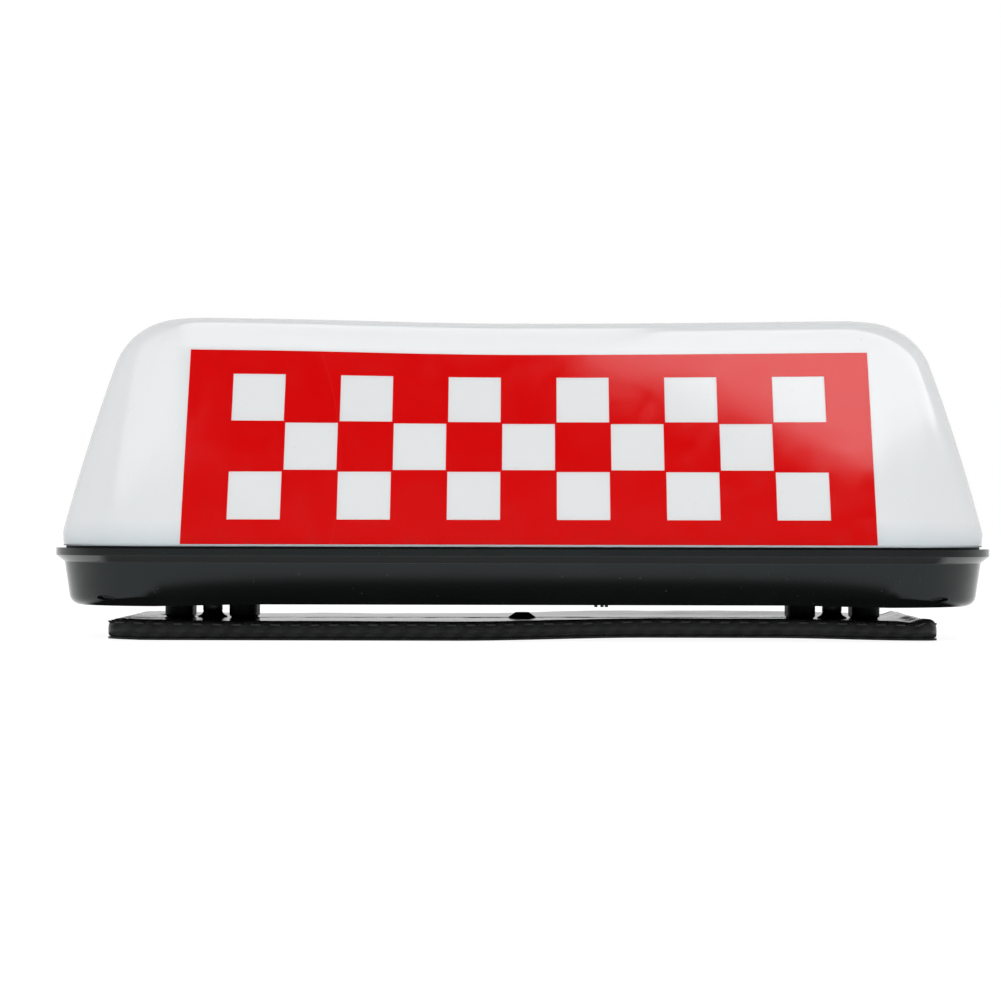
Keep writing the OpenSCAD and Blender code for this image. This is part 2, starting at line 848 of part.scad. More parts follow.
// Red film with a chequered band cut out of it, lying flat with its lower edge along Y = 0
module label_film() {
    thick = 0.3;
    foot = 0.8;
    slope = (dome_height - face_round * (1 - sin(face_lean))) / cos(face_lean);
    check = check_pitch - 0.6;
    linear_extrude(thick)
        difference() {
            translate([-label_width / 2, foot])
                square([label_width, slope - 2 * foot]);
            for (i = [0 : check_columns - 1], j = [0 : check_rows - 1])
                if ((i + j) % 2 == 0)
                    translate([(i - (check_columns - 1) / 2) * check_pitch,
                        slope / 2 + (j - (check_rows - 1) / 2) * check_pitch])
                        square(check, center = true);
        }
}

// Lays a film on the dome's front face
module on_front_face() {
    lift = 0.03;
    translate([label_shift, -dome_half_depth, dome_z])
        rotate([90 - face_lean, 0, 0])
            translate([0, 0, lift])
                children();
}

module front_label() {
    color([0.80, 0.04, 0.05])
        on_front_face() label_film();
}

module rear_label() {
    color([0.80, 0.04, 0.05])
        rotate([0, 0, 180])
            on_front_face() label_film();
}

base_tray();
rim_gasket();
dome_screws();
reflector_plate();
plate_screws();
led_boards();
led_chips();
board_resistors();
board_screws();
terminal_block();
terminal_screws();
wire_positive();
wire_negative();
cable_grommet();
mat_bottom_cover();
mat_magnets();
mat_core();
clamp_plates();
mat_top_cover();
mat_bolts();
conical_washers();
mat_nuts();
lock_washers();
tray_washers();
tray_nuts();
centre_rivet();
rivet_washer();
dome_cover();
front_label();
rear_label();
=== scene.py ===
"""Looks of the taxi roof sign light.

A milky dome with a chequered label on each face, a black tray and a magnetic mat.
"""

import math

import bmesh
import bpy
from mathutils import Euler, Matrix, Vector, noise


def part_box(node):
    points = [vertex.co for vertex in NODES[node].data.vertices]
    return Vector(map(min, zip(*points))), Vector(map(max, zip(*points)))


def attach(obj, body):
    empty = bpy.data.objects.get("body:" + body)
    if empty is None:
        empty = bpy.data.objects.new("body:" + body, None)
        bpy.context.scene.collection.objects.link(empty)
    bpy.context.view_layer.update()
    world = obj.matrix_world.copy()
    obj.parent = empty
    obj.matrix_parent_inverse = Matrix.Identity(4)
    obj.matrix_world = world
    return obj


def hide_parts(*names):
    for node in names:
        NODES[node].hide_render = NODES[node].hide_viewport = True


MM = 0.001

# -------- the camera

CAMERA_PLACE = Vector((0, -1.055, 0.042))
CAMERA_AIM = Vector((-0.0082, 0, 0.0507))
CAMERA_LENS = 100.9
CAMERA_ROLL = 0.12


def make_camera():
    camera = bpy.data.objects.new("camera", bpy.data.cameras.new("camera"))
    camera.data.lens = CAMERA_LENS
    camera.data.clip_start = 0.05
    camera.location = CAMERA_PLACE
    turn = (CAMERA_AIM - CAMERA_PLACE).to_track_quat("-Z", "Y").to_matrix()
    roll = Euler((0, 0, math.radians(CAMERA_ROLL))).to_matrix()
    camera.rotation_euler = (turn @ roll).to_euler()
    bpy.context.scene.collection.objects.link(camera)
    bpy.context.scene.camera = camera


make_camera()
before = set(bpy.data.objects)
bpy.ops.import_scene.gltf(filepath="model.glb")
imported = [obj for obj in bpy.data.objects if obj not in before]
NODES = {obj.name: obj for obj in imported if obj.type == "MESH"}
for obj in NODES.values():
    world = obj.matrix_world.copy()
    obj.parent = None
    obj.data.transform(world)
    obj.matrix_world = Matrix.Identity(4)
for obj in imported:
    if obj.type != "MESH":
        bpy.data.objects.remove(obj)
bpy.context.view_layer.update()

# -------- sizes, in mm

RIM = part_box("rim_gasket")[1] / MM
DOME_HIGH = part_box("dome_cover")[1] / MM
GASKET_THICK = 0.8
LIP_HEIGHT = 2.6
COVE_HEIGHT = 2.4
TRAY_HEIGHT = 19.8
END_DROP = 0.8
TRAY_RIM = RIM.z - GASKET_THICK
COVE_MIDDLE = TRAY_RIM - LIP_HEIGHT - COVE_HEIGHT / 2
TRAY_FOOT = TRAY_RIM - TRAY_HEIGHT - END_DROP
GATE_HEIGHT = 1
GATE_RADIUS = 3.5
DOME_HEIGHT = DOME_HIGH.z - GATE_HEIGHT - RIM.z
DOME_HALF_DEPTH = DOME_HIGH.y
DOME_CORNER = 40.4
DOME_WALL = 2.4
DOME_SKIRT = 5
CORNER_TAPER = 0.75
FACE_LEAN = math.radians(24.5)
END_LEAN = math.radians(16)
FACE_ROUND = 21
END_ROUND = 24
END_BOW = 1.6
# The ends swell a little already at the top of their upright skirt, where the dome is longest
DOME_FOOT_X = DOME_HIGH.x - END_BOW * 4 * DOME_SKIRT / DOME_HEIGHT * (1 - DOME_SKIRT / DOME_HEIGHT)
# How far the faces swell outward, the top sinks at mid length and its left half rises
FACE_BOW = 1.2
TOP_DIP = 1.45
TOP_RISE = 0.95

BOSS_PLACE = (149, 26)
BOSS_RADIUS = 4.2
BOSS_HEIGHT = 14
BOSS_BORE = 1.8
GUSSET_THICK = 2
GUSSET_FOOT = 1.6

LABEL_SHIFT = 2.2
LABEL_WIDTH = 246
LABEL_FOOT = 0.8
LABEL_SLOPE = (DOME_HEIGHT - FACE_ROUND * (1 - math.sin(FACE_LEAN))) / math.cos(FACE_LEAN)
LABEL_THICK = 0.25
LABEL_GAP = 0.03
LABEL_STEP = 4.8
CHECK_COLUMNS = 11
CHECK_ROWS = 3
CHECK_PITCH = 19.5
CHECK_SIZE = CHECK_PITCH - 0.6

MAT_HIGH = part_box("mat_top_cover")[1] / MM
MAT_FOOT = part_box("mat_top_cover")[0].z / MM
MAT_CORNER = 5
MAT_SHEET = 0.75
FOOT_X = 116.3
BOLTS = [(-FOOT_X, 0), (FOOT_X, 0)]
STITCH_PITCH = 7
STITCH_LENGTH = 3.8
STITCH_INSET = 0.4
STITCH_HEIGHT = 4.75
STITCH_PROUD = 0.3
THREAD_RADIUS = 0.33
TOW_PITCH = 1.75

PLATE_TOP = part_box("reflector_plate")[1].z / MM
BOARD_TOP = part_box("led_boards")[1].z / MM
BOARD_Y = 17
CHIP_PITCH = 22
CHIP_COUNT = 12
CHIP_HALF = 2.5
CHIP_CORNER = 0.3
LENS_RADIUS = 1.95
LEG_PITCH = 1.6
CHIP_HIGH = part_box("led_chips")[1].z / MM

# -------- mesh helpers


def add_object(name, mesh, material):
    mesh.materials.append(material)
    made = bpy.data.objects.new(name, mesh)
    bpy.context.scene.collection.objects.link(made)
    return made


def piece(name, points, faces, material):
    """A mesh object from points in millimetres, with smooth faces that all look outward."""
    mesh = bpy.data.meshes.new(name)
    mesh.from_pydata([Vector(p) * MM for p in points], [], faces)
    work = bmesh.new()
    work.from_mesh(mesh)
    bmesh.ops.recalc_face_normals(work, faces=work.faces)
    work.to_mesh(mesh)
    work.free()
    mesh.polygons.foreach_set("use_smooth", [True] * len(mesh.polygons))
    return add_object(name, mesh, MATERIALS[material])


def band(rings, first):
    """Quads between rings of points that follow each other in one point list, from index first."""
    size = len(rings[0])
    return [
        (first + i * size + k, first + i * size + (k + 1) % size,
         first + (i + 1) * size + (k + 1) % size, first + (i + 1) * size + k)
        for i in range(len(rings) - 1)
        for k in range(size)
    ]


class Parts:
    """Collects several closed shapes into one point list and one face list."""

    def __init__(self):
        self.points = []
        self.faces = []

    def loft(self, rings, cap_start=False, cap_end=False, closed=False):
        first = len(self.points)
        size = len(rings[0])
        chain = rings + [rings[0]] if closed else rings
        faces = band(chain, first)
        if closed:
            total = len(rings) * size
            faces = [tuple(first + (i - first) % total for i in f) for f in faces]
        self.points += [p for ring in rings for p in ring]
        self.faces += faces
        if cap_start:
            self.faces.append(tuple(range(first, first + size)))
        if cap_end:
            self.faces.append(tuple(range(len(self.points) - size, len(self.points))))

    def box(self, low, high, bevel=0.0):
        """A block from corner low to corner high whose upright and level edges are chamfered."""
        rings = []
        for z, inset in ((low[2], bevel), (low[2] + bevel, 0), (high[2] - bevel, 0), (high[2], bevel)):
            x0, y0, x1, y1 = low[0] + inset, low[1] + inset, high[0] - inset, high[1] - inset
            rings.append([
                (x0 + bevel, y0, z), (x1 - bevel, y0, z), (x1, y0 + bevel, z), (x1, y1 - bevel, z),
                (x1 - bevel, y1, z), (x0 + bevel, y1, z), (x0, y1 - bevel, z), (x0, y0 + bevel, z),
            ])
        self.loft(rings, cap_start=True, cap_end=True)

    def turned(self, profile, centre=(0, 0), steps=32, closed=False):
        """A shape turned about an upright axis at centre, from [radius, height] points."""
        rings = [
            [(centre[0] + r * math.cos(a), centre[1] + r * math.sin(a), z)
             for a in (math.tau * k / steps for k in range(steps))]
            for r, z in profile
        ]
        self.loft(rings, cap_start=not closed, cap_end=not closed, closed=closed)

    def tube(self, route, radius, sides=12, ends=1.0):
        """A round tube along a route of points; its two ends are narrowed to the share ends."""
        rings = []
        for i, here in enumerate(route):
            before, after = route[max(i - 1, 0)], route[min(i + 1, len(route) - 1)]
            along = (Vector(after) - Vector(before)).normalized()
            side = along.cross(Vector((0, 0, 1)))
            side = side.normalized() if side.length > 0.05 else Vector((1, 0, 0))
            up = side.cross(along)
            r = radius * (ends if i in (0, len(route) - 1) else 1)
            rings.append([
                Vector(here) + r * (math.cos(a) * side + math.sin(a) * up)
                for a in (math.tau * k / sides for k in range(sides))
            ])
        self.loft(rings, cap_start=True, cap_end=True)

    def make(self, name, body, material, replaces=()):
        made = piece(name, self.points, self.faces, material)
        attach(made, body)
        if replaces:
            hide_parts(*replaces)
        return made


def outline(a, b, c, corner_steps, long_steps, short_steps):
    """Points round a rectangle of half sizes a and b whose corners have radius c."""
    points = []
    for quarter in range(4):
        sx = 1 if quarter in (0, 3) else -1
        sy = 1 if quarter in (0, 1) else -1
        for k in range(corner_steps + 1):
            turn = math.pi / 2 * (quarter + k / corner_steps)
            points.append(((a - c) * sx + c * math.cos(turn), (b - c) * sy + c * math.sin(turn)))
        steps = long_steps if quarter in (0, 2) else short_steps
        end = points[-1]
        ahead = (-(a - c) * sx, end[1]) if quarter in (0, 2) else (end[0], -(b - c) * sy)
        for k in range(1, steps):
            points.append(tuple(p + (q - p) * k / steps for p, q in zip(end, ahead)))
    return points


def four(x, y):
    return [(sx * x, sy * y) for sx in (-1, 1) for sy in (-1, 1)]


def smoothstep(low, high, value):
    t = min(1, max(0, (value - low) / (high - low)))
    return t * t * (3 - 2 * t)


# -------- node helpers


class Surface:
    """Short names for building the nodes of a material or world. Positions are in metres, in the frame."""

    def __init__(self, name, owner=None):
        self.owner = owner or bpy.data.materials.new(name)
        self.owner.use_nodes = True
        self.tree = self.owner.node_tree
        self.tree.nodes.clear()
        self.place = self.add("ShaderNodeTexCoord").outputs["Object"]
        self.x, self.y, self.z = self.add("ShaderNodeSeparateXYZ", {0: self.place}).outputs

    def add(self, kind, inputs=None, **settings):
        made = self.tree.nodes.new(kind)
        for key, value in settings.items():
            setattr(made, key, value)
        for key, value in (inputs or {}).items():
            if isinstance(value, bpy.types.NodeSocket):
                self.tree.links.new(value, made.inputs[key])
            else:
                made.inputs[key].default_value = value
        return made

    def math(self, operation, a, b=0.0):
        return self.add("ShaderNodeMath", {0: a, 1: b}, operation=operation).outputs[0]

    def noise(self, size, detail=2.0, place=None):
        """Noise whose blobs are about size metres across."""
        inputs = {"Vector": place or self.place, "Scale": 1 / size, "Detail": detail}
        return self.add("ShaderNodeTexNoise", inputs).outputs[0]

    def stretched(self, x, y, z):
        """The position with each axis scaled, for streaks."""
        return self.add("ShaderNodeMapping", {"Vector": self.place, "Scale": (x, y, z)}).outputs[0]

    def fit(self, value, low, high, to_low=0.0, to_high=1.0):
        """value from low..high moved to to_low..to_high, held at the ends."""
        inputs = {0: value, 1: low, 2: high, 3: to_low, 4: to_high}
        return self.add("ShaderNodeMapRange", inputs).outputs[0]

    def mix(self, share, a, b):
        """Colour a where share is 0 and colour b where it is 1."""
        made = self.add("ShaderNodeMix", data_type="RGBA")
        for index, value in ((0, share), (6, a), (7, b)):
            if isinstance(value, bpy.types.NodeSocket):
                self.tree.links.new(value, made.inputs[index])
            else:
                made.inputs[index].default_value = value if index == 0 else (*value, 1)
        return made.outputs[2]

    def bump(self, height, depth, under=None):
        """Relief depth metres high where height goes from 0 to 1, on top of another relief."""
        inputs = {"Height": height, "Distance": depth, "Strength": 1.0}
        if under:
            inputs["Normal"] = under
        return self.add("ShaderNodeBump", inputs).outputs[0]

    def done(self, **inputs):
        """Ends the tree in a Principled shader; underscores in the names stand for spaces."""
        named = {key.replace("_", " "): value for key, value in inputs.items()}
        for key, value in named.items():
            if isinstance(value, tuple) and len(value) == 3 and key != "Subsurface Radius":
                named[key] = (*value, 1)
        shader = self.add("ShaderNodeBsdfPrincipled", named)
        self.add("ShaderNodeOutputMaterial", {0: shader.outputs[0]})
        return self.owner


# -------- materials


def dome_plastic():
    """Milky moulded plastic: glossy, faintly rippled, with painted shade that makes it cooler and darker
    towards its foot, for the dark seal seen through it.
    """
    s = Surface("dome_plastic")
    # Painted shade: the colour cools and darkens over the lowest 9 mm, standing in for the seal seen
    # through the plastic
    foot = s.fit(s.z, RIM.z * MM, (RIM.z + 9) * MM)
    cloud = s.noise(0.05)
    body = s.mix(cloud, (0.845, 0.872, 0.885), (0.868, 0.888, 0.897))
    colour = s.mix(foot, (0.70, 0.765, 0.80), body)
    speck = s.fit(s.noise(0.0009, 0), 0.86, 0.88)
    colour = s.mix(speck, colour, (0.76, 0.77, 0.76))
    rough = s.fit(s.noise(0.02, 3), 0.35, 0.7, 0.07, 0.13)
    ripple = s.bump(s.noise(0.03, 1), 0.00006)
    pitted = s.bump(s.noise(0.0008), 0.000002, ripple)
    return s.done(Base_Color=colour, Roughness=rough, Normal=pitted, Specular_IOR_Level=0.5,
                  Subsurface_Weight=0.2, Subsurface_Radius=(1.0, 1.0, 1.0), Subsurface_Scale=0.003)


def label_red():
    """Glossy red vinyl film, laid on with slight ripples, a few dust marks and a fine curved scratch."""
    s = Surface("label_red")
    tone = s.noise(0.03, 3)
    colour = s.mix(tone, (0.70, 0.0012, 0.0016), (0.75, 0.0020, 0.0022))
    dust = s.fit(s.noise(0.0008, 0), 0.855, 0.875)
    colour = s.mix(dust, colour, (0.55, 0.02, 0.02))
    centre_x, centre_z, bend = -0.19, 0.06, 0.125
    across = s.math("SUBTRACT", s.x, centre_x)
    up = s.math("SUBTRACT", s.z, centre_z)
    radius = s.math("SQRT", s.math("ADD", s.math("MULTIPLY", across, across), s.math("MULTIPLY", up, up)))
    scratch = s.fit(s.math("ABSOLUTE", s.math("SUBTRACT", radius, bend)), 0.00006, 0.00012, 1.0, 0.0)
    colour = s.mix(s.math("MULTIPLY", scratch, 0.06), colour, (0.7, 0.25, 0.25))
    rough = s.fit(s.noise(0.008, 3), 0.3, 0.7, 0.06, 0.11)
    ripple = s.bump(s.noise(0.035, 1), 0.00005)
    peel = s.bump(s.noise(0.0015, 1), 0.0000025, ripple)
    return s.done(Base_Color=colour, Roughness=rough, Normal=peel, Specular_IOR_Level=0.5)


def moulded_black(name, tone, grain, depth, rough, cove_reflection_tone=0.0):
    """Black moulded plastic or rubber with a fine grain and rubbed patches.

    The tray's has a painted reflection: a lighter strip under its lip stands in for the bright floor
    mirrored there, and it is matt on its feet.
    """
    s = Surface(name)
    rub = s.fit(s.noise(0.03, 4), 0.42, 0.72)
    colour = s.mix(rub, (tone, tone * 1.06, tone * 1.06), (tone * 1.6, tone * 1.72, tone * 1.74))
    dust = s.fit(s.noise(0.0008, 0), 0.845, 0.865)
    colour = s.mix(dust, colour, (0.04, 0.04, 0.039))
    shine = s.fit(rub, 0, 1, rough, rough * 0.8)
    if cove_reflection_tone:
        # Painted reflection: a lighter strip round the middle of the hollow under the lip, for the bright
        # floor mirrored there
        level = s.math("ABSOLUTE", s.math("SUBTRACT", s.z, COVE_MIDDLE * MM))
        near = s.fit(level, COVE_HEIGHT / 2 * MM, (COVE_HEIGHT / 2 + 0.3) * MM, 1.0, 0.0)
        colour = s.mix(near, colour, (cove_reflection_tone, cove_reflection_tone * 1.04, cove_reflection_tone * 1.04))
        shine = s.math("MAXIMUM", shine, s.fit(s.z, TRAY_FOOT * MM, (TRAY_FOOT + 0.4) * MM, 0.55, 0.0))
    relief = s.bump(s.noise(grain, 2), depth)
    return s.done(Base_Color=colour, Roughness=shine, Normal=relief, Specular_IOR_Level=0.34,
                  Specular_Tint=(0.88, 1.0, 1.0))


def mat_skin():
    """Leatherette embossed with a 2/2 twill that runs over the mat's edges and down its sides."""
    s = Surface("mat_skin")
    pitch = TOW_PITCH * MM
    drop = s.math("SUBTRACT", MAT_HIGH.z * MM, s.z)
    normals = s.add("ShaderNodeTexCoord").outputs["Normal"]
    facing = s.add("ShaderNodeSeparateXYZ", {0: normals}).outputs

    def unrolled(axis, normal):
        side = s.math("GREATER_THAN", s.math("ABSOLUTE", normal), 0.6)
        fall = s.math("MULTIPLY", side, s.math("MULTIPLY", s.math("SIGN", axis), drop))
        return s.math("DIVIDE", s.math("ADD", axis, fall), pitch)

    u = unrolled(s.x, facing[0])
    v = unrolled(s.y, facing[1])
    step = s.math("SUBTRACT", s.math("FLOOR", u), s.math("FLOOR", v))
    over = s.math("LESS_THAN", s.math("FLOORED_MODULO", step, 4.0), 1.5)
    across_u = s.math("FRACT", u)
    across_v = s.math("FRACT", v)
    across = s.math("ADD", s.math("MULTIPLY", over, across_u),
                    s.math("MULTIPLY", s.math("SUBTRACT", 1.0, over), across_v))
    centred = s.math("SUBTRACT", s.math("MULTIPLY", across, 2.0), 1.0)
    tow = s.math("SUBTRACT", 1.0, s.math("MULTIPLY", centred, centred))
    fibre = s.noise(0.0002, 2)
    wear = s.fit(s.noise(0.04, 3), 0.4, 0.75)
    dark = s.mix(over, (0.0120, 0.0130, 0.0120), (0.0185, 0.0198, 0.0194))
    colour = s.mix(s.math("MULTIPLY", wear, 0.3), dark, (0.030, 0.031, 0.031))
    side = s.fit(facing[2], 0.4, 0.8, 0.16, 0.0)
    rough = s.math("ADD", s.fit(over, 0, 1, 0.12, 0.10), s.math("MULTIPLY", fibre, 0.03))
    rough = s.math("ADD", rough, side)
    weave = s.bump(tow, 0.000003)
    relief = s.bump(fibre, 0.0000008, weave)
    return s.done(Base_Color=colour, Roughness=rough, Normal=relief, Specular_IOR_Level=0.45)


def thread():
    """Dark bonded sewing thread with the twist of its plies."""
    s = Surface("stitch_thread")
    twist = s.math("SINE", s.math("MULTIPLY", s.math("ADD", s.math("ADD", s.x, s.y), s.z), 9000.0))
    fuzz = s.noise(0.0003, 2)
    colour = s.mix(fuzz, (0.022, 0.022, 0.023), (0.065, 0.066, 0.068))
    relief = s.bump(twist, 0.00003)
    return s.done(Base_Color=colour, Roughness=s.fit(fuzz, 0, 1, 0.5, 0.7), Normal=relief)


def metal(name, bright, dull, rough, streak=0.0004):
    """Plated or bare steel with turning marks, stains and small rubbed spots."""
    s = Surface(name)
    stain = s.fit(s.noise(0.004, 4), 0.35, 0.7)
    marks = s.noise(streak, 2, s.stretched(1, 1, 6))
    colour = s.mix(stain, bright, dull)
    shine = s.math("ADD", s.fit(stain, 0, 1, rough, rough + 0.16), s.math("MULTIPLY", marks, 0.08))
    relief = s.bump(marks, 0.00001)
    return s.done(Base_Color=colour, Metallic=1.0, Roughness=shine, Normal=relief)


def painted_plate():
    """White powder-coated reflector sheet with an even orange-peel relief."""
    s = Surface("reflector_paint")
    tone = s.noise(0.05, 3)
    colour = s.mix(tone, (0.78, 0.78, 0.755), (0.84, 0.84, 0.82))
    speck = s.fit(s.noise(0.001, 0), 0.80, 0.82)
    colour = s.mix(speck, colour, (0.45, 0.43, 0.40))
    peel = s.bump(s.noise(0.0011, 1), 0.00003)
    return s.done(Base_Color=colour, Roughness=s.fit(tone, 0.3, 0.7, 0.34, 0.46), Normal=peel)


def board_mask():
    """White solder mask with the copper tracks showing as raised bands under it, over a buff edge."""
    s = Surface("board_mask")
    row = s.math("SUBTRACT", s.math("ABSOLUTE", s.y), BOARD_Y * MM)
    off = s.math("ABSOLUTE", row)
    rail = s.fit(s.math("ABSOLUTE", s.math("SUBTRACT", off, 0.0046)), 0.0008, 0.001, 1, 0)
    cell = s.math("PINGPONG", s.math("ADD", s.x, CHIP_PITCH * MM / 2), CHIP_PITCH * MM)
    near = s.fit(off, 0.0024, 0.0026, 1, 0)
    link = s.math("MULTIPLY", s.math("MULTIPLY", near, s.fit(cell, 0.0019, 0.0021, 0, 1)), 0.9)
    copper = s.math("MAXIMUM", rail, link)
    face = s.mix(copper, (0.80, 0.81, 0.78), (0.70, 0.72, 0.68))
    face = s.mix(s.math("MULTIPLY", s.noise(0.006, 3), 0.25), face, (0.72, 0.71, 0.64))
    edge = s.fit(s.z, (PLATE_TOP + 0.1) * MM, (BOARD_TOP - 0.08) * MM, 0, 1)
    top = s.fit(edge, 0.96, 1.0)
    colour = s.mix(top, (0.42, 0.40, 0.24), face)
    relief = s.bump(copper, 0.00004)
    return s.done(Base_Color=colour, Roughness=s.fit(copper, 0, 1, 0.42, 0.34), Normal=relief)


def soft_plastic(name, light, shade, rough, grain=0.0006, depth=0.000012, **more):
    """Moulded plastic, film or lacquer in one colour with grain, mottling and uneven shine."""
    s = Surface(name)
    tone = s.noise(0.006, 3)
    colour = s.mix(tone, light, shade)
    relief = s.bump(s.noise(grain, 2), depth)
    return s.done(Base_Color=colour, Roughness=s.fit(tone, 0.3, 0.7, rough, rough + 0.14),
                  Normal=relief, **more)


def foam_sheet():
    """Closed-cell foam with small open pores on its cut edge."""
    s = Surface("mat_foam")
    cells = s.add("ShaderNodeTexVoronoi", {"Vector": s.place, "Scale": 1800.0}).outputs[0]
    colour = s.mix(cells, (0.03, 0.03, 0.032), (0.09, 0.09, 0.095))
    return s.done(Base_Color=colour, Roughness=0.9, Normal=s.bump(cells, 0.00015))


MATERIALS = {
    "dome": dome_plastic(),
    "label": label_red(),
    # The tray's lighter strip under its lip is a painted reflection of the floor
    "tray": moulded_black("tray_plastic", tone=0.0035, grain=0.00035, depth=0.000004, rough=0.13,
                          cove_reflection_tone=0.028),
    "rubber": moulded_black("black_rubber", tone=0.012, grain=0.0004, depth=0.00003, rough=0.6),
    "washer": moulded_black("washer_plastic", tone=0.008, grain=0.0006, depth=0.00001, rough=0.32),
    "skin": mat_skin(),
    "thread": thread(),
    "zinc": metal("zinc_plate", (0.72, 0.73, 0.74), (0.50, 0.50, 0.47), 0.26),
    "steel": metal("dark_steel", (0.20, 0.205, 0.21), (0.10, 0.10, 0.10), 0.36),
    "plate_steel": metal("clamp_steel", (0.55, 0.56, 0.57), (0.36, 0.35, 0.33), 0.34, 0.0008),
    "brass": metal("brass", (0.78, 0.60, 0.30), (0.50, 0.36, 0.16), 0.28),
    "solder": metal("solder", (0.70, 0.70, 0.72), (0.52, 0.52, 0.54), 0.22),
    "copper": metal("copper", (0.80, 0.42, 0.26), (0.55, 0.26, 0.15), 0.3),
    "reflector": painted_plate(),
    "board": board_mask(),
    "white_case": soft_plastic("white_case", (0.80, 0.80, 0.77), (0.72, 0.72, 0.68), 0.4),
    "phosphor": soft_plastic("phosphor", (0.86, 0.62, 0.08), (0.78, 0.52, 0.05), 0.18, 0.0002, 0.000006,
                             Subsurface_Weight=0.3, Subsurface_Radius=(1.0, 0.8, 0.3),
                             Subsurface_Scale=0.0006),
    "resistor": soft_plastic("resistor_glaze", (0.012, 0.012, 0.014), (0.02, 0.02, 0.022), 0.3, 0.0002),
    "terminal": soft_plastic("terminal_nylon", (0.78, 0.77, 0.70), (0.70, 0.69, 0.62), 0.42),
    "red_wire": soft_plastic("red_insulation", (0.55, 0.012, 0.010), (0.45, 0.008, 0.008), 0.36),
    "black_wire": soft_plastic("black_insulation", (0.012, 0.012, 0.013), (0.02, 0.02, 0.02), 0.36),
    "magnet": soft_plastic("magnet_sheet", (0.035, 0.030, 0.028), (0.055, 0.048, 0.044), 0.7,
                           grain=0.0005, depth=0.00003),
    "foam": foam_sheet(),
}

# -------- CAD nodes kept

SHARP_ANGLE = math.radians(32)
WELD_DISTANCE = 0.00001


def smoothing_group():
    """Geometry nodes that join a shape's faces into one skin and keep only edges over SHARP_ANGLE sharp."""
    group = bpy.data.node_groups.new("weld_and_smooth", "GeometryNodeTree")
    for way in ("INPUT", "OUTPUT"):
        group.interface.new_socket("Geometry", in_out=way, socket_type="NodeSocketGeometry")
    chain = [group.nodes.new(kind) for kind in (
        "NodeGroupInput", "GeometryNodeRemoveAttribute", "GeometryNodeMergeByDistance",
        "GeometryNodeSetShadeSmooth", "GeometryNodeSetShadeSmooth", "NodeGroupOutput")]
    for before, after in zip(chain, chain[1:]):
        group.links.new(before.outputs[0], after.inputs[0])
    plain, weld, soft = chain[1], chain[2], chain[4]
    plain.inputs["Name"].default_value = "custom_normal"
    weld.inputs["Distance"].default_value = WELD_DISTANCE
    soft.domain = "EDGE"
    edge = group.nodes.new("GeometryNodeInputMeshEdgeAngle")
    gentle = group.nodes.new("FunctionNodeCompare")
    gentle.operation = "LESS_THAN"
    gentle.inputs[1].default_value = SHARP_ANGLE
    group.links.new(edge.outputs[0], gentle.inputs[0])
    group.links.new(gentle.outputs[0], soft.inputs["Shade Smooth"])
    return group


SMOOTHING = smoothing_group()


def finish_node(node, material, round_off):
    """Gives a CAD node its material, smooth shading and rounded edges, round_off mm wide."""
    kept = NODES[node]
    kept.data.materials.clear()
    kept.data.materials.append(MATERIALS[material])
    kept.modifiers.new("weld", "NODES").node_group = SMOOTHING
    edges = kept.modifiers.new("edges", "BEVEL")
    edges.width = round_off * MM
    edges.segments = 2
    edges.limit_method = "ANGLE"
    edges.angle_limit = SHARP_ANGLE
    edges.use_clamp_overlap = True
    kept.modifiers.new("level", "WEIGHTED_NORMAL").keep_sharp = True


KEPT_NODES = {
    "base_tray": ("tray", 0.25),
    "rim_gasket": ("rubber", 0.15),
    "dome_screws": ("zinc", 0.12),
    "reflector_plate": ("reflector", 0.2),
    "plate_screws": ("zinc", 0.1),
    "led_boards": ("board", 0.06),
    "board_screws": ("zinc", 0.08),
    "terminal_block": ("terminal", 0.2),
    "terminal_screws": ("brass", 0.08),
    "cable_grommet": ("rubber", 0.3),
    "clamp_plates": ("plate_steel", 0.1),
    "conical_washers": ("washer", 0.15),
    "tray_washers": ("zinc", 0.08),
    "lock_washers": ("steel", 0.08),
    "centre_rivet": ("washer", 0.2),
    "rivet_washer": ("plate_steel", 0.08),
}
for node_name, (finish, rounding) in KEPT_NODES.items():
    finish_node(node_name, finish, rounding)

# -------- dome


def half_at(h, foot, skirt, lean, radius, height):
    """Half size at height h of a leaning wall that ends in a round under a flat top."""
    arc_z = height - radius
    join = arc_z + radius * math.sin(lean)
    if h <= skirt:
        return foot
    if h <= join:
        return foot - (h - skirt) * math.tan(lean)
    run = foot - (join - skirt) * math.tan(lean)
    return run - radius * math.cos(lean) + math.sqrt(max(0, radius ** 2 - (h - arc_z) ** 2))


def dome_half_x(h, wall):
    foot = DOME_FOOT_X - wall / math.cos(END_LEAN)
    bow = END_BOW * 4 * h / DOME_HEIGHT * (1 - h / DOME_HEIGHT)
    return half_at(h, foot, DOME_SKIRT, END_LEAN, END_ROUND - wall, DOME_HEIGHT - wall) + bow


def dome_foot_y(wall):
    return DOME_HALF_DEPTH - wall / math.cos(FACE_LEAN)


def dome_half_y(h, wall):
    return half_at(h, dome_foot_y(wall), 0, FACE_LEAN, FACE_ROUND - wall, DOME_HEIGHT - wall)


def crown(x, y, h):
    """The slight swell of the moulded faces and the sag of the top, as a move of one point."""
    across = max(0, 1 - (x / DOME_FOOT_X) ** 2)
    t = h / DOME_HEIGHT
    bow = FACE_BOW * across * 4 * t * max(0, 1 - t) * y / DOME_HALF_DEPTH
    sag = TOP_DIP * across ** 2 - TOP_RISE * smoothstep(-5, -95, x)
    return (x, y + bow, RIM.z + h - sag * smoothstep(0.3, 1, t))


def dome_ring(h, wall):
    """The dome's outline at height h, wall mm inside its outer skin."""
    b = dome_half_y(h, wall)
    c = (DOME_CORNER - wall) * (b / dome_foot_y(wall)) ** CORNER_TAPER
    return outline(dome_half_x(h, wall), b, c, corner_steps=20, long_steps=44, short_steps=10)


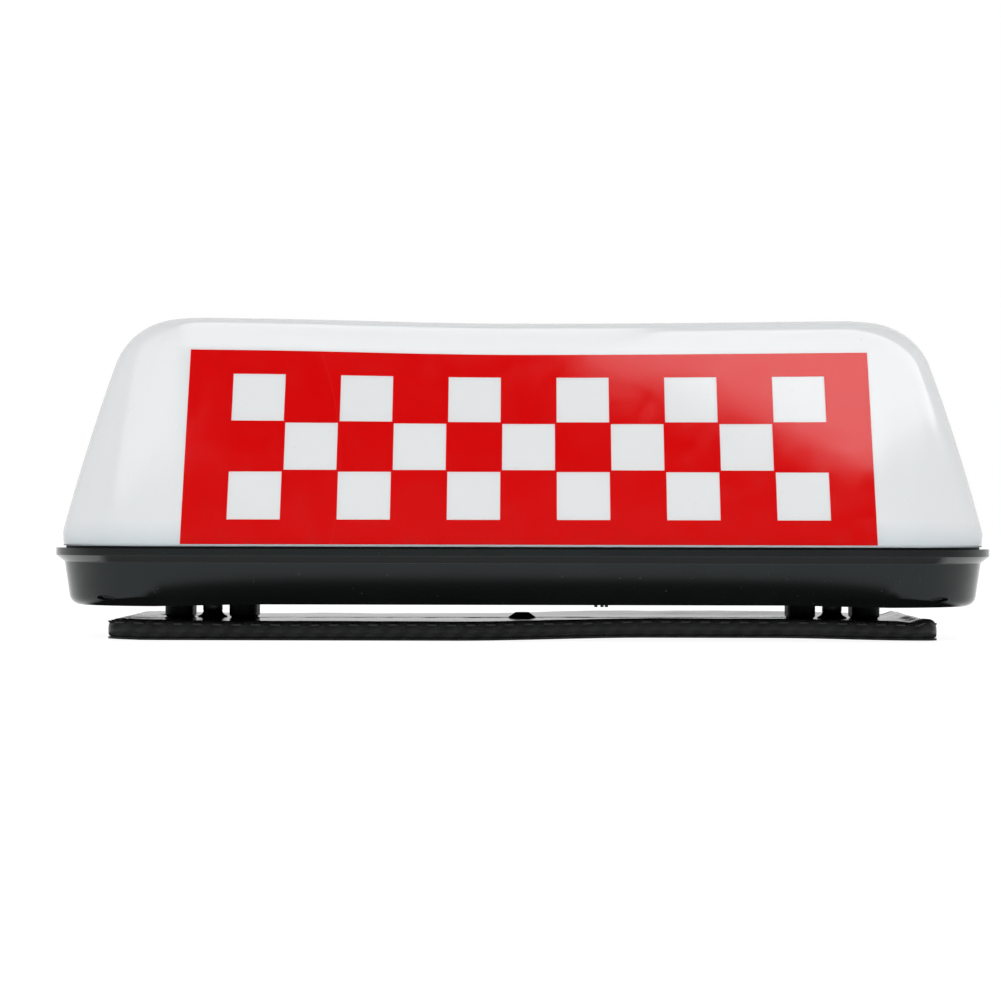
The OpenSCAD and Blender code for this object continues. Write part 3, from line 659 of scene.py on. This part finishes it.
def dome_skin(wall):
    """Rings of the outer skin (wall 0) or the inner one, from the foot up to the middle of the top."""
    radius = END_ROUND - wall
    top = DOME_HEIGHT - wall
    levels = [0, 1.2, 2.6, DOME_SKIRT - 0.6, DOME_SKIRT + 0.6]
    join = top - radius * (1 - math.sin(END_LEAN))
    wall_rings, round_rings = 15, 16
    levels += [DOME_SKIRT + (join - DOME_SKIRT) * k / wall_rings for k in range(1, wall_rings)]
    turns = [END_LEAN + (math.pi / 2 - END_LEAN) * k / round_rings for k in range(round_rings + 1)]
    levels += [top - radius * (1 - math.sin(turn)) for turn in turns]
    rings = [[crown(x, y, h) for x, y in dome_ring(h, wall)] for h in levels]
    rim = dome_ring(top, wall)
    for share in (0.94, 0.85, 0.7, 0.5, 0.3, 0.1):
        rings.append([crown(x * share, y * share, top) for x, y in rim])
    return rings


def make_dome():
    """The dome's shell with its four screw posts, their gussets and the gate mark on top."""
    shape = Parts()
    shape.loft(dome_skin(0)[::-1] + dome_skin(DOME_WALL), cap_start=True, cap_end=True)
    wall_x = DOME_FOOT_X - DOME_WALL / 2
    half = GUSSET_THICK / 2
    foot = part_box("dome_cover")[0].z / MM
    head = RIM.z + BOSS_HEIGHT
    bore_end = head - 3
    rise = (BOSS_HEIGHT - DOME_SKIRT) * math.tan(END_LEAN)
    for x, y in four(*BOSS_PLACE):
        shape.turned([
            (BOSS_BORE, bore_end), (BOSS_BORE, foot + 0.4), (BOSS_BORE + 0.4, foot),
            (BOSS_RADIUS - 0.3, foot), (BOSS_RADIUS, foot + 0.3), (BOSS_RADIUS, head - 0.6),
            (BOSS_RADIUS - 0.6, head), (0.1, head), (0.1, bore_end),
        ], (x, y), closed=True)
        side = 1 if x > 0 else -1
        inner = abs(x) + 2
        blade = [(inner, GUSSET_FOOT), (wall_x, GUSSET_FOOT), (wall_x, DOME_SKIRT),
                 (wall_x - rise, BOSS_HEIGHT), (inner, BOSS_HEIGHT)]
        shape.loft([[(side * px, y + dy, RIM.z + h) for px, h in blade] for dy in (-half, half)],
                   cap_start=True, cap_end=True)
    top = crown(0, 0, DOME_HEIGHT)[2]
    shape.turned([(GATE_RADIUS + 0.5, top - 0.6), (GATE_RADIUS, top + 0.1), (GATE_RADIUS - 0.1, top + 0.75),
                  (GATE_RADIUS - 0.5, top + GATE_HEIGHT), (1.4, top + GATE_HEIGHT), (1.0, top + 0.75),
                  (0.2, top + 0.7)], steps=40)
    shape.make("dome_shell", "dome", "dome", replaces=["dome_cover"])


# -------- labels


def on_face(u, v, lift, side):
    """A point of the film: u along the face, v up its slope, lift off its surface."""
    y = side * (v * math.sin(FACE_LEAN) - DOME_HALF_DEPTH)
    x, y, z = crown(side * (u + LABEL_SHIFT), y, v * math.cos(FACE_LEAN))
    return (x, y - side * lift * math.cos(FACE_LEAN), z + lift * math.sin(FACE_LEAN))


def grid_lines(low, high, middles):
    """Positions from low to high with both edges of every check, no further apart than LABEL_STEP."""
    half = CHECK_SIZE / 2
    fixed = [low, *(m + d for m in middles for d in (-half, half)), high]
    lines = []
    for start, end in zip(fixed, fixed[1:]):
        count = max(1, math.ceil((end - start) / LABEL_STEP))
        lines += [start + (end - start) * k / count for k in range(count)]
    return lines + [high]


def make_label(name, side, node):
    """Red film with the checks cut out of it, on the front (side 1) or back (side -1) face."""
    middle = LABEL_SLOPE / 2
    half = CHECK_SIZE / 2
    columns = [(i - (CHECK_COLUMNS - 1) / 2) * CHECK_PITCH for i in range(CHECK_COLUMNS)]
    rows = [middle + (j - (CHECK_ROWS - 1) / 2) * CHECK_PITCH for j in range(CHECK_ROWS)]
    us = grid_lines(-LABEL_WIDTH / 2, LABEL_WIDTH / 2, columns)
    vs = grid_lines(LABEL_FOOT, LABEL_SLOPE - LABEL_FOOT, rows)

    def cut_out(u, v):
        return any((i + j) % 2 == 0 and abs(u - c) < half and abs(v - r) < half
                   for i, c in enumerate(columns) for j, r in enumerate(rows))

    points = [on_face(u, v, LABEL_THICK, side) for v in vs for u in us]
    faces = []
    for j in range(len(vs) - 1):
        for i in range(len(us) - 1):
            if not cut_out((us[i] + us[i + 1]) / 2, (vs[j] + vs[j + 1]) / 2):
                k = j * len(us) + i
                faces.append((k, k + 1, k + 1 + len(us), k + len(us)))
    used = sorted({k for face in faces for k in face})
    renumber = {k: i for i, k in enumerate(used)}
    film = piece(name, [points[k] for k in used], [tuple(renumber[k] for k in f) for f in faces], "label")
    if film.data.polygons[0].normal.y * side > 0:
        film.data.flip_normals()
    thick = film.modifiers.new("thickness", "SOLIDIFY")
    thick.thickness = (LABEL_THICK - LABEL_GAP) * MM
    thick.offset = -1
    film.modifiers.new("weld", "NODES").node_group = SMOOTHING
    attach(film, "dome")
    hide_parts(node)


# -------- mat

# How far the mat's right half lifts at its long edges, and how far its left end curls up
WAVE_HEIGHT = 1.25
CURL_HEIGHT = 0.45
# How far the right end's fold stands up, the dip behind it, the left end's rise and the corners' crease
FOLD_HEIGHT = 0.95
FOLD_DIP = 0.6
LEFT_FOLD = 0.5
CORNER_CREASE = 0.3


def mat_rise(x, y):
    """How far the flexible mat stands off the roof at a point."""
    edge = smoothstep(16, 46, abs(y))
    wave = WAVE_HEIGHT * smoothstep(-25, 45, x) * (1 - 0.65 * smoothstep(90, 142, x))
    return wave * edge + CURL_HEIGHT * smoothstep(-134, -150, x)


def bent_copy(name, node, material):
    """A CAD layer of the mat, cut across every few millimetres so that it can follow the mat's wave."""
    work = bmesh.new()
    work.from_mesh(NODES[node].data)
    bmesh.ops.remove_doubles(work, verts=work.verts, dist=WELD_DISTANCE)
    step = 6

    def cut(place, normal):
        parts = [*work.verts, *work.edges, *work.faces]
        bmesh.ops.bisect_plane(work, geom=parts, dist=0.000001, plane_co=place, plane_no=normal)

    x = -MAT_HIGH.x
    while x < MAT_HIGH.x:
        cut((x * MM, 0, 0), (1, 0, 0))
        x += step
    for y in range(-48, 49, step):
        cut((0, y * MM, 0), (0, 1, 0))
    for v in work.verts:
        v.co.z += mat_rise(v.co.x / MM, v.co.y / MM) * MM
    mesh = bpy.data.meshes.new(name)
    work.to_mesh(mesh)
    work.free()
    made = add_object(name, mesh, MATERIALS[material])
    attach(made, "base")
    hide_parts(node)


# The mat's side from its foot to its top: how far in from the edge, and how high
MAT_TOP = MAT_HIGH.z - MAT_FOOT
MAT_SIDE = [(0.9, 0), (0.35, 0.25), (0.08, 0.9), (0, 2.2), (0.05, 3.3), (0.2, 4.3), (0.55, 5.15),
            (1.1, 5.7), (1.9, 5.95), (2.6, 5.9), (3.2, 5.78), (3.9, 5.9),
            *((inset, MAT_TOP) for inset in (5.2, 6.6, 8, 9.4, 11, 13, 20, 28, 38, 47))]
# The left end of the mat tapers more than its other sides
END_PINCH = 2.2


def bulge(value, middle, width):
    """A bell curve that is 1 where value is middle."""
    return math.exp(-((value - middle) / width) ** 2)


def mat_point(x, y, h):
    """Adds the padding, the wave and the folded ends to a point of the mat's cover."""
    edge_x = MAT_HIGH.x - abs(x)
    edge_y = MAT_HIGH.y - abs(y)
    soft = noise.noise(Vector((x / 26, y / 20, 3.1))) * 0.22
    swell = noise.noise(Vector((x / 10, y / 10, 8.4))) * 0.08
    if x > 0:
        dip = FOLD_DIP * bulge(edge_x, 9.3, 3.2) * smoothstep(34, 6, edge_y)
        fold = FOLD_HEIGHT * bulge(edge_x, 3.6, 2.6) - dip
    else:
        fold = LEFT_FOLD * smoothstep(44, 9, edge_x)
    crease = -CORNER_CREASE * bulge(edge_x, edge_y, 2.5) * smoothstep(9, 2, min(edge_x, edge_y))
    lift = (soft + swell + fold + crease) * smoothstep(0.4, 5, h)
    under_feet = smoothstep(22, 18, abs(abs(x) - FOOT_X)) * smoothstep(15, 11, abs(y))
    under_rivet = smoothstep(10, 6.5, math.hypot(x, y))
    lift *= 1 - max(under_feet, under_rivet)
    return (x, y, MAT_FOOT + h + lift + mat_rise(x, y))


def mat_ring(inset, h):
    """One round of the mat's cover, inset from its edge and h above its foot."""
    pinch = (END_PINCH - 1) * smoothstep(3.2, 6, h) * smoothstep(8, 1, inset)
    a = MAT_HIGH.x - inset
    b = MAT_HIGH.y - inset
    c = max(0.4, MAT_CORNER - inset)
    ring = outline(a, b, c, corner_steps=8, long_steps=150, short_steps=50)
    return [mat_point(x + inset * pinch * smoothstep(-140, -146, x), y, h) for x, y in ring]


def make_mat():
    """The mat's padded cover, as a sheet that is closed along its middle and open underneath."""
    shape = Parts()
    shape.loft([mat_ring(inset, h) for inset, h in MAT_SIDE])
    made = shape.make("mat_cover", "base", "skin", replaces=["mat_top_cover"])
    close = bmesh.new()
    close.from_mesh(made.data)
    # The innermost ring runs to and fro along the middle: its two sides are sewn together
    first = (len(MAT_SIDE) - 1) * len(mat_ring(*MAT_SIDE[-1]))
    close.verts.ensure_lookup_table()
    ring = [close.verts[i] for i in range(first, len(close.verts))]
    cap = close.faces.new(ring)
    cap.smooth = True
    bmesh.ops.triangulate(close, faces=[cap])
    bmesh.ops.recalc_face_normals(close, faces=close.faces)
    close.to_mesh(made.data)
    close.free()
    wall = made.modifiers.new("sheet", "SOLIDIFY")
    wall.thickness = MAT_SHEET * MM
    wall.offset = -1


def make_stitches():
    """Short raised stitches at an even pitch round the mat, just under its upper edge."""
    shape = Parts()
    flat = outline(MAT_HIGH.x - STITCH_INSET, MAT_HIGH.y - STITCH_INSET, MAT_CORNER,
                   corner_steps=8, long_steps=300, short_steps=100)
    count = len(flat)
    steps = [math.dist(flat[k], flat[(k + 1) % count]) for k in range(count)]
    total = sum(steps)
    turns = round(total / STITCH_PITCH)
    pitch = total / turns

    def at(distance):
        distance %= total
        for k in range(count):
            if distance <= steps[k]:
                share = distance / steps[k]
                here, there = flat[k], flat[(k + 1) % count]
                return here[0] + (there[0] - here[0]) * share, here[1] + (there[1] - here[1]) * share
            distance -= steps[k]
        return flat[0]

    for i in range(turns):
        route = []
        for k in range(7):
            share = k / 6 - 0.5
            gone = i * pitch + share * STITCH_LENGTH
            x, y = at(gone)
            along = (Vector(at(gone + 0.4)) - Vector(at(gone - 0.4))).normalized()
            out = Vector((along.y, -along.x))
            proud = STITCH_PROUD - 1.6 * share * share
            z = mat_point(x, y, STITCH_HEIGHT)[2]
            route.append((x + out.x * proud, y + out.y * proud, z))
        shape.tube(route, THREAD_RADIUS, sides=8, ends=0.5)
    shape.make("mat_stitching", "base", "thread")


# -------- fasteners


def threaded(shape, x, y, low, high, radius, pitch, depth, tip=0.6):
    """A threaded rod: each point of its skin stands in or out with the helix it lies on."""
    steps = 28
    rows_per_turn = 6
    rows = math.ceil((high - low) / pitch * rows_per_turn)
    rings = []
    for i in range(rows + 1):
        z = low + (high - low) * i / rows
        ring = []
        for k in range(steps):
            turn = k / steps
            phase = ((z - low) / pitch - turn) % 1
            r = radius - depth * abs(2 * phase - 1)
            r = min(r, radius - max(0, z - (high - tip)))
            ring.append((x + r * math.cos(math.tau * turn), y + r * math.sin(math.tau * turn), z))
        rings.append(ring)
    shape.loft(rings, cap_start=True, cap_end=True)


def hex_nut(shape, x, y, low, high, corner, bore):
    """A hexagon nut with a corner to the front, whose corners are turned off in a cone above and below."""
    steps = 72
    chamfer = 0.3
    flat = corner * math.cos(math.pi / 6)
    edge = flat * 0.97
    slope = math.tan(math.radians(30))

    def ring(z, radius=None, fall=0.0):
        """A round ring, or with no radius the hexagon itself, its corners moved along by fall."""
        points = []
        for k in range(steps):
            angle = math.tau * k / steps
            reach = flat / math.cos((angle - math.pi / 6) % (math.pi / 3) - math.pi / 6)
            r = radius or reach
            points.append((x + r * math.cos(angle), y + r * math.sin(angle), z + (reach - edge) * fall))
        return points

    shape.loft([
        ring(low + chamfer, bore), ring(low, bore + chamfer), ring(low, edge), ring(low, fall=slope),
        ring(high, fall=-slope), ring(high, edge), ring(high, bore + chamfer), ring(high - chamfer, bore),
    ], closed=True)


def make_bolts():
    """The two bolts, each with a flat head under the mat's core and a cut thread."""
    low, high = (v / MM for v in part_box("mat_bolts"))
    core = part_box("mat_core")[0].z / MM
    head = high.x - FOOT_X
    shape = Parts()
    for x, y in BOLTS:
        shape.turned([(head - 1.2, low.z), (head - 0.1, core - 0.2), (head - 0.2, core), (1.9, core),
                      (1.9, core + 1.0)], (x, y))
        threaded(shape, x, y, core + 0.9, high.z, radius=2, pitch=0.7, depth=0.4)
    shape.make("mat_bolts_threaded", "base", "steel", replaces=["mat_bolts"])


def make_nuts(name, node, material):
    """A nut on each bolt, at the height of the CAD node that it replaces."""
    low, high = (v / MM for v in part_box(node))
    shape = Parts()
    for x, y in BOLTS:
        hex_nut(shape, x, y, low.z, high.z, corner=4.04, bore=2.02)
    shape.make(name, "base", material, replaces=[node])


def make_screw_threads():
    """The cut threads of the four dome screws, where they stand out of the tray's posts."""
    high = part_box("dome_screws")[1] / MM
    radius, pitch, turns, steps, tip = 1.68, 1.4, 7, 16, 1.2
    shape = Parts()
    for x, y in four(*BOSS_PLACE):
        route = []
        for k in range(turns * steps + 1):
            angle = math.tau * k / steps
            z = high.z - tip - (turns - k / steps) * pitch
            route.append((x + radius * math.cos(angle), y + radius * math.sin(angle), z))
        shape.tube(route, 0.22, sides=6, ends=0.2)
    shape.make("dome_screw_threads", "base", "zinc")


# -------- lighting parts


def make_leds():
    """Surface-mount LEDs: a white frame round a yellow lens, with three tinned legs on each long side."""
    cases = Parts()
    lenses = Parts()
    legs = Parts()
    for side in (-1, 1):
        for i in range(CHIP_COUNT):
            x = (i - (CHIP_COUNT - 1) / 2) * CHIP_PITCH
            y = side * BOARD_Y
            insets = (0.15, 0, 0, 0.12)
            square = [outline(CHIP_HALF - d, CHIP_HALF - d, CHIP_CORNER, 6, 8, 8) for d in insets]
            heights = (BOARD_TOP, BOARD_TOP + 0.5, CHIP_HIGH - 0.15, CHIP_HIGH)
            rings = [[(x + px, y + py, z) for px, py in ring] for ring, z in zip(square, heights)]
            turns = [math.atan2(py, px) for px, py in square[0]]
            for out, drop in ((0.12, 0), (0, 0.12), (-0.35, 0.7)):
                r = LENS_RADIUS + out
                rings.append([(x + r * math.cos(a), y + r * math.sin(a), CHIP_HIGH - drop) for a in turns])
            cases.loft(rings, cap_start=True, cap_end=True)
            dome = [(LENS_RADIUS - 0.2, 0.65), (LENS_RADIUS - 0.05, 0.3), (LENS_RADIUS - 0.6, 0.2),
                    (0.7, 0.14), (0.1, 0.12)]
            lenses.turned([(r, CHIP_HIGH - drop) for r, drop in dome], (x, y), steps=28)
            for leg in (-LEG_PITCH, 0, LEG_PITCH):
                for end in (-1, 1):
                    low, high = sorted((x + end * CHIP_HALF, x + end * (CHIP_HALF + 0.5)))
                    middle = y + leg
                    legs.box((low, middle - 0.45, BOARD_TOP), (high, middle + 0.45, BOARD_TOP + 0.22), 0.05)
    cases.make("led_cases", "base", "white_case", replaces=["led_chips"])
    lenses.make("led_lenses", "base", "phosphor")
    legs.make("led_legs", "base", "solder")


def make_resistors():
    """Chip resistors: a dark body with a tinned cap and a solder pad at each end."""
    bodies = Parts()
    caps = Parts()
    # Of a cap and of a pad: where it starts and ends, its half width, its height and its bevel
    tinned = ((1.2, 1.6, 0.82, 0.62, 0.06), (1.5, 2.3, 0.9, 0.12, 0.05))
    for side in (-1, 1):
        for place in (-4, -2, 2, 4):
            x, y = place * CHIP_PITCH, side * BOARD_Y
            bodies.box((x - 1.25, y - 0.8, BOARD_TOP), (x + 1.25, y + 0.8, BOARD_TOP + 0.6), 0.05)
            for end in (-1, 1):
                for near, far, wide, tall, bevel in tinned:
                    low, high = sorted((x + end * near, x + end * far))
                    caps.box((low, y - wide, BOARD_TOP), (high, y + wide, BOARD_TOP + tall), bevel)
    bodies.make("resistor_bodies", "base", "resistor", replaces=["board_resistors"])
    caps.make("resistor_ends", "base", "solder")


def smooth_route(points, steps=6):
    """A curve through the points of a route, with steps pieces between neighbours."""
    route = []
    count = len(points)
    for i in range(count - 1):
        before = Vector(points[max(i - 1, 0)])
        start = Vector(points[i])
        end = Vector(points[i + 1])
        after = Vector(points[min(i + 2, count - 1)])
        for k in range(steps):
            t = k / steps
            square = (2 * before - 5 * start + 4 * end - after) * t * t
            cube = (3 * start - before - 3 * end + after) * t ** 3
            route.append(0.5 * (2 * start + (end - before) * t + square + cube))
    return route + [Vector(points[-1])]


def make_wires():
    """A lead from each terminal to the rear board and a jumper on to the front one, soldered on."""
    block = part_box("terminal_block")[0] / MM
    lead_z = block.z + 4
    lead_x = 4.75
    lead_end = 22.8
    jumper_x = 66
    jumper_end = BOARD_Y - 5
    radius = 0.9
    lying = BOARD_TOP + radius + 0.05
    feed = [(block.y + 3, lead_z), (35, lead_z), (32, lead_z + 1), (30.3, lead_z + 3.5),
            (29.6, PLATE_TOP - 1.5), (29.2, PLATE_TOP + 1), (28, BOARD_TOP + 1.6), (26, BOARD_TOP + 1.9),
            (24.2, BOARD_TOP + 1.4), (lead_end, lying)]
    jumper = [(jumper_end, lying), (9, BOARD_TOP + 1.2), (6, BOARD_TOP + 2.2), (2, BOARD_TOP + 2.8),
              (-2, BOARD_TOP + 2.8), (-6, BOARD_TOP + 2.2), (-9, BOARD_TOP + 1.2), (-jumper_end, lying)]
    solder = [(1.3, BOARD_TOP), (1.15, BOARD_TOP + 0.3), (0.7, BOARD_TOP + 0.65), (0.25, BOARD_TOP + 0.75)]
    joints = Parts()
    cores = Parts()
    for side, name, slot, material in ((-1, "wire_positive", "wire_red", "red_wire"),
                                       (1, "wire_negative", "wire_black", "black_wire")):
        sleeve = Parts()
        for x, route in ((side * lead_x, feed), (side * jumper_x, jumper)):
            sleeve.tube(smooth_route([(x, y, z) for y, z in route]), radius, sides=16, ends=0.9)
        sleeve.make(name + "_sleeve", "base", material, replaces=[name])
        ends = [(side * lead_x, lead_end, -1), (side * jumper_x, jumper_end, 1),
                (side * jumper_x, -jumper_end, -1)]
        for x, y, way in ends:
            z = BOARD_TOP + radius
            tip = y + way * 1.9
            cores.tube([(x, y - way * 0.3, z), (x, y + way * 0.9, z - 0.3), (x, tip, BOARD_TOP + 0.25)],
                       0.4, sides=8)
            joints.turned(solder, (x, tip), steps=20)
    cores.make("wire_cores", "base", "copper")
    joints.make("solder_joints", "base", "solder")


# -------- stage


def glowing(name, strength, diffuse=0.0):
    """An even white glow, to which diffuse adds a matt grey that takes shadows."""
    s = Surface(name)
    shader = s.add("ShaderNodeEmission", {"Strength": strength})
    if diffuse:
        matt = s.add("ShaderNodeBsdfDiffuse", {"Color": (diffuse, diffuse, diffuse, 1)})
        shader = s.add("ShaderNodeAddShader", {0: shader.outputs[0], 1: matt.outputs[0]})
    s.add("ShaderNodeOutputMaterial", {0: shader.outputs[0]})
    return s.owner


def stage_object(name, mesh, material, unseen_by=()):
    """An object of the studio that takes no part in the given kinds of ray."""
    made = add_object(name, mesh, material)
    for ray in unseen_by:
        setattr(made, "visible_" + ray, False)
    return made


def flat_mesh(name, corners):
    mesh = bpy.data.meshes.new(name)
    mesh.from_pydata([(x, y, 0) for x, y in corners], [], [tuple(range(len(corners)))])
    return mesh


def rectangle(x, y):
    return [(-x, -y), (x, -y), (x, y), (-x, y)]


FLOOR_HALF = 9.0
BACKDROP_RADIUS = 8.5
LIGHT_AIM = Vector((0, 0, 0.07))
SOFT_EDGE = 0.3
ONLY_GLOSS_SEES = ("camera", "diffuse", "transmission", "shadow", "volume_scatter")
ONLY_CAMERA_SEES = ("diffuse", "glossy", "transmission", "shadow", "volume_scatter")


def make_floor():
    mesh = flat_mesh("floor", rectangle(FLOOR_HALF, FLOOR_HALF))
    floor = stage_object("floor", mesh, glowing("pale_floor", 0.93, diffuse=0.25))
    floor.location.z = -0.0002


def make_backdrop():
    """A white shell that only the camera sees, so that the background is white from every side."""
    mesh = bpy.data.meshes.new("backdrop")
    work = bmesh.new()
    bmesh.ops.create_uvsphere(work, u_segments=48, v_segments=24, radius=BACKDROP_RADIUS)
    work.to_mesh(mesh)
    work.free()
    stage_object("backdrop", mesh, glowing("white_backdrop", 1.0), ONLY_CAMERA_SEES)


def softbox(name, place, size, strength):
    """A studio light whose brightness falls off towards its edges, and which no gloss mirrors."""
    s = Surface(name)
    level = strength
    for half, axis in zip((size[0] / 2, size[1] / 2), (s.x, s.y)):
        inward = s.math("SUBTRACT", half, s.math("ABSOLUTE", axis))
        level = s.math("MULTIPLY", s.fit(inward, 0, SOFT_EDGE * half), level)
    back = s.add("ShaderNodeNewGeometry").outputs["Backfacing"]
    level = s.math("MULTIPLY", level, s.math("SUBTRACT", 1.0, back))
    glow = s.add("ShaderNodeEmission", {"Strength": level})
    s.add("ShaderNodeOutputMaterial", {0: glow.outputs[0]})
    mesh = flat_mesh(name, rectangle(size[0] / 2, size[1] / 2))
    light = stage_object(name, mesh, s.owner, ("camera", "glossy"))
    light.location = place
    light.rotation_euler = (LIGHT_AIM - Vector(place)).to_track_quat("Z", "Y").to_euler()


# The three overhead panels that the dome and the label mirror, as seen from above, in metres
PANEL_HEIGHT = 1.3
LEFT_PANEL = [(-0.34, -1.09), (-0.87, -0.99), (-1.4, -0.78), (-1.75, -0.5), (-1.9, 0.2), (-1.43, 0.66),
              (-0.5, 0.66)]
MIDDLE_PANEL = [(-0.34, -0.78), (0.05, -0.78), (0.1, 0.9), (-0.5, 0.9)]
RIGHT_PANEL = [(0.05, -0.85), (0.13, -0.88), (0.22, -0.96), (0.33, -1.1), (1.1, -0.78), (1.65, -0.34),
               (2.36, 0.68), (2.58, 1.3), (2.32, 1.05), (1.35, 0.58), (0.1, 0.5)]


def overhead(name, corners, strength):
    """A flat panel above the sign that shows only in glossy surfaces."""
    panel = stage_object(name, flat_mesh(name, corners), glowing(name, strength), ONLY_GLOSS_SEES)
    panel.location.z = PANEL_HEIGHT


def make_shade():
    """The dark patch under and round the mat, which only glossy surfaces such as the tray's wall mirror."""
    width, depth, power, spare = 0.166, 0.134, 5.0, 1.05
    s = Surface("shade")
    across = s.math("POWER", s.math("ABSOLUTE", s.math("DIVIDE", s.x, width)), power)
    along = s.math("POWER", s.math("ABSOLUTE", s.math("DIVIDE", s.y, depth)), power)
    share = s.fit(s.math("ADD", across, along), 0.9, 1.1, 1.0, 0.0)
    clear = s.add("ShaderNodeBsdfTransparent")
    dark = s.add("ShaderNodeBsdfDiffuse", {"Color": (0.004, 0.004, 0.004, 1)})
    both = s.add("ShaderNodeMixShader", {0: share, 1: clear.outputs[0], 2: dark.outputs[0]})
    s.add("ShaderNodeOutputMaterial", {0: both.outputs[0]})
    mesh = flat_mesh("shade", rectangle(width * spare, depth * spare))
    shade = stage_object("shade", mesh, s.owner, ONLY_GLOSS_SEES)
    shade.location.z = -0.0001


def make_world():
    """Room light that is white behind the sign and dim in front of it, where the camera stands."""
    front, back, front_level, back_level = -0.35, 0.45, 0.03, 1.0
    s = Surface("room", bpy.data.worlds.new("room"))
    bpy.context.scene.world = s.owner
    way = s.add("ShaderNodeTexCoord").outputs["Generated"]
    depth = s.add("ShaderNodeSeparateXYZ", {0: way}).outputs[1]
    fade = s.add("ShaderNodeMapRange", {0: depth, 1: front, 2: back, 3: front_level, 4: back_level},
                 interpolation_type="SMOOTHSTEP")
    glow = s.add("ShaderNodeBackground", {"Strength": fade.outputs[0]})
    s.add("ShaderNodeOutputWorld", {0: glow.outputs[0]})


# -------- build

make_floor()
make_backdrop()
make_world()
overhead("left_panel", LEFT_PANEL, strength=1.6)
overhead("middle_panel", MIDDLE_PANEL, strength=2.6)
overhead("right_panel", RIGHT_PANEL, strength=3.3)
softbox("fill_light", place=(0, -2.0, 1.25), size=(2.6, 1.6), strength=3.45)
softbox("top_light", place=(0, -0.25, 1.6), size=(1.8, 1.2), strength=0.75)
make_shade()

make_dome()
make_label("front_film", side=1, node="front_label")
make_label("rear_film", side=-1, node="rear_label")
make_mat()
make_stitches()
bent_copy("mat_base_sheet", "mat_bottom_cover", "skin")
bent_copy("magnet_sheets", "mat_magnets", "magnet")
bent_copy("foam_core", "mat_core", "foam")
make_bolts()
make_nuts("mat_hex_nuts", "mat_nuts", "steel")
make_nuts("tray_hex_nuts", "tray_nuts", "zinc")
make_screw_threads()
make_leds()
make_resistors()
make_wires()

view = bpy.context.scene.view_settings
view.view_transform = "Standard"
